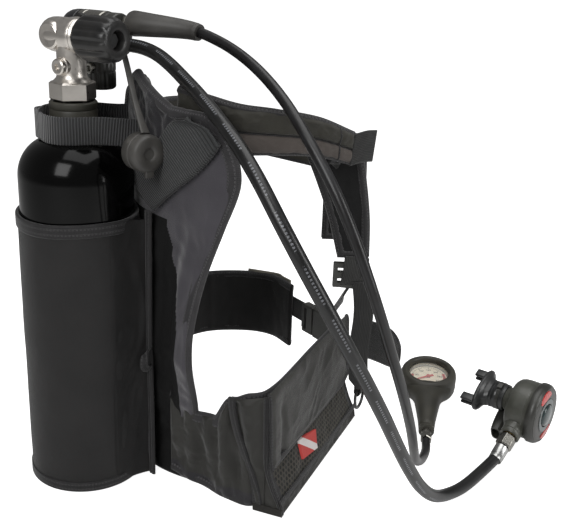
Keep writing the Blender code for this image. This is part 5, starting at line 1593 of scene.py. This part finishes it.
def make_straps():
    """Shoulder straps, chest pads, webbing and the webbing round their slide."""
    right = [(0.0800, -0.0700, 0.3930), (0.1010, -0.0990, 0.3895), (0.1200, -0.1290, 0.3885), (0.1500, -0.1455, 0.3880),
             (0.1900, -0.1500, 0.3830), (0.2280, -0.1470, 0.3700)]

    def right_relief(p, u, v):
        groove = -0.0030 * math.exp(-((v - STRAP_SEAM) / 0.035) ** 2)
        within = v / STRAP_SEAM if v < STRAP_SEAM else (v - STRAP_SEAM) / 0.53
        pads = 0.0020 * math.sin(math.pi * within)
        return groove + pads + 0.0034 * crumple(p, 0.045, 2.0, (0.6, 1.0, 1.2)) + 0.0012 * crumple(p, 0.015, 7.0)

    shape = Shape()
    surface = strap_surface(right, 0.054, (0, -0.08, 1), 0.030)
    front, middle = slab(shape, surface, STRAP_ROWS, STRAP_COLUMNS, 0.0096, right_relief,
                         slot=lambda u, v: 1 if v < 0.45 else 0, back_slot=0)
    bind_edges(shape, middle, ("v0", "v1"), 0.0085, 0.0100, 2, lap=0.0010, trim=slice(1, -1))
    piping = [front[i][int(STRAP_COLUMNS * STRAP_SEAM)] for i in range(2, STRAP_ROWS - 1)]
    shape.tube(piping, 0.0011, 8, 2)
    seam = [front[int(STRAP_ROWS * 0.90)][j] for j in range(2, STRAP_COLUMNS - 1)]
    shape.tube(seam, 0.0008, 8, 2)
    piece = shape.make("near_shoulder_strap", "pack", [OLIVE, PINKISH, TAPE], ["shoulder_strap_right"], 60.0)

    left = [(0.1010, 0.0960, 0.3500), (0.1230, 0.1280, 0.3500), (0.1600, 0.1380, 0.3470), (0.2200, 0.1130, 0.3380),
            (0.2900, 0.0650, 0.3260)]
    shape = Shape()
    surface = strap_surface(left, 0.050, (0, 0.08, 1))
    _, middle = slab(shape, surface, 110, 36, 0.0094,
                     lambda p, u, v: 0.0030 * crumple(p, 0.045, 12.0, (0.6, 1.0, 1.2)), side=-1.0)
    bind_edges(shape, middle, ("v0", "v1"), 0.0085, 0.0098, 1, lap=0.0010, trim=slice(1, -1))
    piece = shape.make("far_shoulder_strap", "pack", [OLIVE, TAPE], ["shoulder_strap_left"], 60.0)

    across = (0.92, -0.39, 0.0)
    pads = (("near_chest_pad", "chest_pad_right", 0.054, 0.030,
             [(0.2150, -0.1255, 0.3700), (0.2270, -0.1270, 0.3320), (0.2370, -0.1275, 0.2950),
              (0.2440, -0.1270, 0.2560)]),
            ("far_chest_pad", "chest_pad_left", 0.048, 0.048,
             [(0.3120, 0.0420, 0.3420), (0.3140, 0.0400, 0.3000), (0.3150, 0.0400, 0.2500), (0.3150, 0.0400, 0.2150)]))
    for seed, (name, node, width, end_width, route) in enumerate(pads):
        shape = Shape()
        surface = strap_surface(route, width, across, end_width)
        _, middle = slab(shape, surface, 90, 40, 0.0096,
                         lambda p, u, v: 0.0022 * crumple(p, 0.05, 20.0 + seed) - 0.0010)
        bind_edges(shape, middle, ("v0", "v1"), 0.0100, 0.0102, 1, lap=0.0010, trim=slice(1, -1))
        bind_edges(shape, middle, ("u0", "u1"), 0.0100, 0.0101, 1, lap=0.0010)
        piece = shape.make(name, "pack", [BLACK_PAD, TAPE], [node], 60.0)

    tab = Shape()
    surface = strap_surface([(0.2240, -0.1490, 0.3700), (0.2380, -0.1475, 0.3725), (0.2500, -0.1450, 0.3720)], 0.030,
                            (0.1, 0.0, 1.0))
    slab(tab, surface, 30, 24, 0.0030, lambda p, u, v: 0.0008 * crumple(p, 0.02, 31.0))
    tab.make("strap_corner_tab", "pack", [DARK_WEB], sharp=60.0)
    joins = Shape()
    near_join = [(0.2060, -0.1420, 0.3710), (0.2160, -0.1370, 0.3690), (0.2180, -0.1320, 0.3670),
                 (0.2260, -0.1300, 0.3600)]
    far_join = [(0.2700, 0.0740, 0.3280), (0.2900, 0.0600, 0.3240), (0.3040, 0.0500, 0.3200),
                (0.3180, 0.0440, 0.3160)]
    for points, width in ((near_join, 0.028), (far_join, 0.036)):
        joins.strap(curve_through(points, 30), UP, (width, 0.0030, 0.0015))
    joins.make("strap_joins", "pack", [DARK_WEB], sharp=60.0)

    shape = Shape()
    side = Vector(across).normalized()
    chest = curve_through([(0.2470, -0.1170, 0.2230), (0.2530, -0.1010, 0.2130), (0.2640, -0.0720, 0.1960),
                           (0.2820, -0.0250, 0.1660), (0.2960, 0.0060, 0.1420)], 60)
    shape.strap(chest, Vector((0.45, -0.2, 0.9)), (0.025, 0.0021, 0.0010))
    shape.make("chest_strap", "pack", [WEB], ["chest_webbing_right"], 50.0)

    def tail_scale(t):
        return (1.0 - 0.85 * max(0.0, t - 0.90) / 0.10, 1.0)

    shape = Shape()
    tail = curve_through([(0.2520, -0.1330, 0.2330), (0.2540, -0.1352, 0.1900), (0.2552, -0.1330, 0.1500),
                          (0.2560, -0.1300, 0.1120)], 70)
    tail = [p + side * 0.0016 * math.sin(k * 0.11) for k, p in enumerate(tail)]
    shape.strap(tail, side, (0.020, 0.0021, 0.0010), scale=tail_scale)
    shape.make("hanging_tail", "pack", [DARK_WEB], ["strap_tail"], 50.0)

    shape = Shape()
    back_loop = curve_through([(0.2470, -0.1290, 0.2580), (0.2455, -0.1300, 0.2440), (0.2445, -0.1285, 0.2330),
                               (0.2450, -0.1245, 0.2240)], 24)
    shape.strap(back_loop, side, (0.0245, 0.0020, 0.0010))
    shape.make("lock_webbing", "pack", [WEB], sharp=50.0)


BLACK_PAD = fabric("black_pad", (0.0012, 0.0012, 0.0012), (0.0034, 0.0032, 0.0034), 0.80, sheen=0.02)


def band_surface(route, low, high):
    """Upright band; u along the route, v from its lower to its upper edge; low and high are functions of u."""
    path = curve_through([(x, y, 0.0) for x, y in route], 160)

    def surface(u, v):
        at = u * (len(path) - 1)
        k = min(int(at), len(path) - 2)
        p = path[k].lerp(path[k + 1], at - k)
        return Vector((p.x, p.y, mix(low(u), high(u), v)))

    return surface


def make_waist():
    """Waist band halves."""
    right = [(0.0740, -0.0640), (0.0880, -0.0830), (0.1030, -0.1010), (0.1180, -0.1235), (0.1400, -0.1405),
             (0.1700, -0.1275), (0.2400, -0.0585), (0.2900, -0.0095), (0.3035, 0.0110)]

    def top(u):
        return read_curve(((0.0, 0.112), (0.10, 0.092), (0.17, 0.094), (0.24, 0.122), (0.30, 0.1295), (1.0, 0.1295)), u)

    def hem(u):
        return read_curve(((0.0, 0.014), (0.10, 0.009), (0.20, 0.005), (0.30, 0.0024), (1.0, 0.0024)), u)

    def relief(p, u, v):
        root = 1.0 - fade(u, 0.28, 0.40)
        upright = math.sin(u * 95.0 + 3.0 * noise.noise(p * 14.0)) * 0.0022 * root * fade(v, 0.12, 0.30)
        broad = (0.0040 * root + 0.0022) * crumple(p, 0.040, 41.0, (1.3, 1.3, 0.5))
        return upright + broad + 0.0010 * crumple(p, 0.014, 3.0)

    shape = Shape()
    _, middle = slab(shape, band_surface(right, hem, top), 190, 60, 0.0058, relief, side=1.0,
                     slot=lambda u, v: 1 if v < 0.13 else 0, back_slot=0)
    for name, width in (("v0", 0.0090), ("v1", 0.0130)):
        bind_edges(shape, middle, (name,), width, 0.0064, 2, lap=0.0010, trim=slice(1, -1))
    piece = shape.make("near_waist_band", "pack", [FLAP, NYLON, WIDE_TAPE], ["waist_band_right"], 60.0)

    front_a = Vector((0.304, 0.016, 0.0))
    front_u = Vector((-0.238, 0.971, 0.0)).normalized()
    start = front_a + front_u * 0.088
    bend = front_a + front_u * 0.130
    left = [(0.1030, 0.0900), (0.1200, 0.1350), (0.1500, 0.1660), (0.1950, 0.1810), (0.2450, 0.1680),
            (bend.x, bend.y), (start.x, start.y)]

    def far_relief(p, u, v):
        fold = math.exp(-((u - 0.52) / 0.02) ** 2)
        return 0.0030 * crumple(p, 0.05, 51.0, (1.2, 1.2, 0.5)) - 0.0030 * fold

    shape = Shape()
    _, middle = slab(shape, band_surface(left, lambda u: 0.0550, lambda u: 0.1380), 150, 44, 0.0058,
                     far_relief, side=-1.0)
    bind_edges(shape, middle, ("v0", "v1"), 0.0100, 0.0064, 1, lap=0.0010, trim=slice(1, -1))
    piece = shape.make("far_waist_band", "pack", [DARK_NYLON, TAPE], ["waist_band_left"], 60.0)
    out = front_u.cross(UP)
    loop = Shape()
    height = UP * 0.105
    points = [front_a + height + front_u * along + out * off for along, off in
              ((0.100, 0.0060), (0.090, 0.0058), (0.078, 0.0056), (0.066, 0.0052), (0.0590, 0.0046), (0.0570, 0.0),
               (0.0585, -0.0040), (0.0615, -0.0046), (0.0640, -0.0044))]
    path = curve_through(points, 60)
    loop.strap(path, UP, (0.0270, 0.0018, 0.0009))
    loop.make("buckle_webbing", "buckle_tongue", [DARK_WEB], sharp=60.0)
    strip = Shape()
    beige = [front_a + UP * 0.1375 + front_u * along + out * 0.0012 for along in (0.098, 0.115, 0.128)]
    beige += [Vector((0.2450, 0.1665, 0.1380))]
    path = curve_through(beige, 40)
    strip.strap(path, UP, (0.0080, 0.0022, 0.0012))
    strip.make("band_lining_edge", "pack", [BEIGE], sharp=60.0)


def make_band_end():
    """Rounded hook-and-loop end of the waist band."""
    route = [(0.3200, 0.0080, 0.1040), (0.3340, -0.0080, 0.1030), (0.3475, -0.0295, 0.1010), (0.3535, -0.0500, 0.0990)]
    path = curve_through(route, 60)

    def surface(u, v):
        at = u * 59.0
        k = min(int(at), 58)
        p = path[k].lerp(path[k + 1], at - k)
        shrink = math.sqrt(max(0.02, 1.0 - max(0.0, (u - 0.62) / 0.38) ** 2.4))
        return p + UP * (0.025 * shrink * (2.0 * v - 1.0))

    shape = Shape()
    slab(shape, surface, 60, 30, 0.0030, lambda p, u, v: 0.0006 * crumple(p, 0.03, 61.0))
    shape.make("band_end_tab", "pack", [FUZZ], ["waist_band_end"], 60.0)


def make_fuzz():
    """Loop pile: short bristly surface."""
    mat = principled("loop_pile", (0.008, 0.008, 0.008), 0.9, Sheen_Weight=0.6, Sheen_Roughness=0.5)
    nt = mat.node_tree
    pile = noise_node(nt, 1400.0, 4.0)
    link(mat, ramp_node(nt, pile, ((0.35, (0.004, 0.004, 0.004)), (0.75, (0.020, 0.020, 0.019)))), "Base Color")
    bump(mat, (pile, 0.0010, 0.9), (noise_node(nt, 60.0), 0.0010, 0.4))
    return mat


FUZZ = make_fuzz()

POCKET_A = Vector((0.162, -0.168, 0.0))
SIDE = heading(44.5)
INWARD = heading(134.5)
POCKET_L = 0.228
POCKET_D = 0.022
POCKET_H = 0.132


def pocket_point(along, out, z):
    """Along the pocket, out from its front face towards the wearer's side (negative is outward), height."""
    return POCKET_A + SIDE * along + INWARD * out + UP * z


def pocket_front(z):
    """How far in from its lower front edge the pocket's face lies: flat above, full at the bottom."""
    return spline_value(((0.0, 0.0006), (0.012, 0.0028), (0.030, 0.0108), (0.050, 0.0172), (0.070, 0.0192),
                         (0.132, 0.0200)), z)


def make_pocket():
    """Pocket with a mesh front, a dotted side strip and a smooth hem; flap and patch."""
    shape = Shape()
    top = POCKET_H - 0.0005

    def face(u, v):
        z = 0.0024 + (top - 0.0024) * v
        return pocket_point(POCKET_L * u, pocket_front(z), z)

    def relief(p, u, v):
        belly = 0.0030 * math.sin(math.pi * u) * (1.0 - fade(v, 0.30, 0.50)) * fade(v, 0.0, 0.15)
        folds = 0.0030 * crumple(p, 0.055, 71.0, (1.0, 1.0, 0.8)) + 0.0008 * crumple(p, 0.018, 9.0)
        return belly + folds * 0.8 - 0.0010

    def zone(u, v):
        if v < 0.11:
            return 2
        if u < 0.045 or u > 0.955:
            return 3
        return 1 if v < 0.50 else 0

    slab(shape, face, 150, 100, 0.0026, relief, side=1.0, slot=zone, back_slot=0)

    def corner(u, v):
        z = 0.0024 + (top - 0.0024) * v
        rear = Vector((mix(0.1395, 0.1170, fade(v, 0.0, 1.0)), mix(-0.1430, -0.1250, fade(v, 0.0, 1.0)), z * 0.93))
        near = pocket_point(0.0014, pocket_front(z), z)
        bulge = INWARD * 0.004 * math.sin(math.pi * u) - SIDE * 0.006 * math.sin(math.pi * u) * v
        return rear.lerp(near, u) + bulge

    def corner_relief(p, u, v):
        fold = 0.0030 * math.sin(u * 9.0 + 2.0) * fade(v, 0.2, 0.5)
        return fold + 0.0036 * crumple(p, 0.034, 73.0, (1.0, 1.0, 0.55))

    _, middle = slab(shape, corner, 50, 90, 0.0026, corner_relief, side=1.0, slot=4, back_slot=0)
    bind_edges(shape, middle, ("u0",), 0.0110, 0.0036, 3)
    bind_edges(shape, middle, ("u1",), 0.0060, 0.0034, 3)
    hem_line = [corner(k / 30.0, 0.02) for k in range(31)]
    shape.strap(hem_line, UP, (0.0090, 0.0032, 0.0016), 2)

    def far_end(u, v):
        z = 0.0024 + (top - 0.0024) * v
        return pocket_point(POCKET_L - 0.0014, mix(pocket_front(z), POCKET_D - 0.0008, u), z)

    slab(shape, far_end, 16, 60, 0.0024, lambda p, u, v: 0.0010 * crumple(p, 0.03, 74.0))

    def rear(u, v):
        return pocket_point(POCKET_L * u, POCKET_D + 0.0004, 0.0024 + (top - 0.0024) * v)

    slab(shape, rear, 60, 30, 0.0020, lambda p, u, v: 0.0006 * crumple(p, 0.05, 72.0), side=-1.0)

    def base(u, v):
        return pocket_point(POCKET_L * u, 0.0012 + (POCKET_D - 0.0020) * v, 0.0020)

    slab(shape, base, 40, 12, 0.0018, None, side=-1.0, slot=2)
    seam = [pocket_point(POCKET_L * k / 80.0, pocket_front(0.0165) - 0.0014, 0.0165) for k in range(81)]
    shape.strap(seam, UP * 0.9 + INWARD * 0.35, (0.0052, 0.0018, 0.0009), 3)
    shape.make("pocket_bag", "pack", [POCKET_CLOTH, MESH, SMOOTH_HEM, TAPE, FLAP], ["pocket"], 60.0)

    flap = Shape()
    line = rounded([(POCKET_D - 0.0006, POCKET_H + 0.0016), (0.0196, POCKET_H + 0.0030), (0.0172, POCKET_H - 0.0030),
                    (0.0158, POCKET_H - 0.0300), (0.0146, 0.0600), (0.0126, 0.0520)], 0.008, 6)
    lengths = [0.0]
    for a, b in zip(line, line[1:]):
        lengths.append(lengths[-1] + math.hypot(b[0] - a[0], b[1] - a[1]))

    def flap_face(u, v):
        goal = lengths[-1] * v
        k = 0
        while k < len(line) - 2 and lengths[k + 1] < goal:
            k += 1
        t = (goal - lengths[k]) / (lengths[k + 1] - lengths[k])
        out = mix(line[k][0], line[k + 1][0], t)
        z = mix(line[k][1], line[k + 1][1], t)
        lift = 0.006 * fade(u - 0.90, 0.0, 0.10) * v
        return pocket_point(POCKET_L * mix(0.006, 1.0, u), out, z + lift)

    def flap_relief(p, u, v):
        fold = -0.0030 * math.exp(-((u - 0.12) / 0.030) ** 2) * fade(v, 0.10, 0.4)
        bulge = 0.0018 * math.sin(math.pi * u) * fade(v, 0.2, 0.6)
        return fold + bulge + 0.0040 * crumple(p, 0.070, 81.0) + 0.0004 * crumple(p, 0.018, 82.0) + 0.0004

    _, middle = slab(flap, flap_face, 150, 70, 0.0024, flap_relief, side=-1.0)
    bind_edges(flap, middle, ("v1", "u0", "u1"), 0.0070, 0.0032, 1, lap=0.0008)
    flap.make("pocket_cover", "pocket_flap", [FLAP, TAPE], ["pocket_flap"], 60.0)

    patch = Shape()
    corners = [Vector(p) for p in ((-0.0200, 0.0147), (0.0260, 0.0050), (0.0160, -0.0125), (-0.0220, -0.0070))]
    rows = []
    uv_rows = []
    steps = 36
    for i in range(steps + 1):
        row = []
        uv_row = []
        for j in range(steps + 1):
            s, t = i / steps, j / steps
            a = (corners[0] * (1 - s) + corners[1] * s) * (1 - t) + (corners[3] * (1 - s) + corners[2] * s) * t
            z = 0.0355 + a.y
            raised = 0.0038 if 0 < i < steps and 0 < j < steps else 0.0018
            row.append(pocket_point(0.090 + a.x, pocket_front(z) - raised, z))
            uv_row.append((a.x, a.y))
        rows.append(row)
        uv_rows.append(uv_row)
    patch.grid(rows, uv_rows, 0)
    for polygon in range(len(patch.faces)):
        i, j = divmod(polygon, steps)
        patch.slots[polygon] = 1 if abs(i - j) / steps < 0.20 else 0
    patch.make("pocket_patch", "pack", [PATCH_RED, WHITE], sharp=60.0)


POCKET_CLOTH = fabric("pocket_cloth", (0.008, 0.0072, 0.0055), (0.022, 0.020, 0.016), 0.66, crease=0.0018, sheen=0.16)
SMOOTH_HEM = fabric("hem_cloth", (0.009, 0.0078, 0.006), (0.018, 0.016, 0.013), 0.60, sheen=0.18)
RING_C = POCKET_A + SIDE * (POCKET_L + 0.0195) + INWARD * 0.004 + UP * 0.019


def make_ring():
    """Bent ring on its webbing loop."""
    place = basis(RING_C, SIDE, UP, SIDE.cross(UP))
    outline = [(-0.0150, 0.0097), (0.0, 0.0099), (0.0150, 0.0097), (0.0158, 0.0060), (0.0152, -0.0010),
               (0.0118, -0.0092), (0.0060, -0.0130), (0.0, -0.0140), (-0.0060, -0.0130), (-0.0118, -0.0092),
               (-0.0152, -0.0010), (-0.0158, 0.0060)]
    closed = curve_through([(x, y, 0.0) for x, y in outline + outline[:1]], 97)
    shape = Shape()
    shape.tube([place @ p for p in closed], 0.0018, 14, caps=True)
    shape.make("belt_ring", "d_ring", [RING], ["d_ring"], 60.0)
    loop = Shape()
    bar = RING_C + UP * 0.0097
    path = [bar + UP * 0.0150 + INWARD * 0.0016, bar + UP * 0.0080 + INWARD * 0.0030, bar + INWARD * 0.0038,
            bar - UP * 0.0040 + INWARD * 0.0016, bar - UP * 0.0048, bar - UP * 0.0040 - INWARD * 0.0016,
            bar - INWARD * 0.0038, bar + UP * 0.0080 - INWARD * 0.0030, bar + UP * 0.0150 - INWARD * 0.0016]
    path = curve_through(path, 60)
    loop.strap(path, SIDE, (0.0200, 0.0016, 0.0008))
    tab = curve_through([bar + UP * 0.0145 - SIDE * 0.0190, bar + UP * 0.0125 - SIDE * 0.0100,
                         bar + UP * 0.0110 - SIDE * 0.0020], 16)
    loop.strap(tab, UP, (0.0100, 0.0028, 0.0014))
    loop.make("ring_loop", "pack", [DARK_WEB], ["d_ring_loop"], 60.0)


RING = rubber("ring_coating", (0.030, 0.030, 0.030), (0.060, 0.060, 0.058), 0.30, 0.3)


def round_off(node, width):
    """Soften the edges of a kept CAD node."""
    rounder = bpy.data.objects[node].modifiers.new("bevel", "BEVEL")
    rounder.width = width
    rounder.segments = 3
    rounder.limit_method = "ANGLE"
    rounder.angle_limit = math.radians(40)


make_pouch()
make_panel()
make_piping()
make_neck_strap()
make_straps()
make_waist()
make_band_end()
make_pocket()
make_ring()
for node_name in ("strap_lock", "buckle_socket", "buckle_tongue"):
    dress(node_name, PLASTIC)
    round_off(node_name, 0.0006)
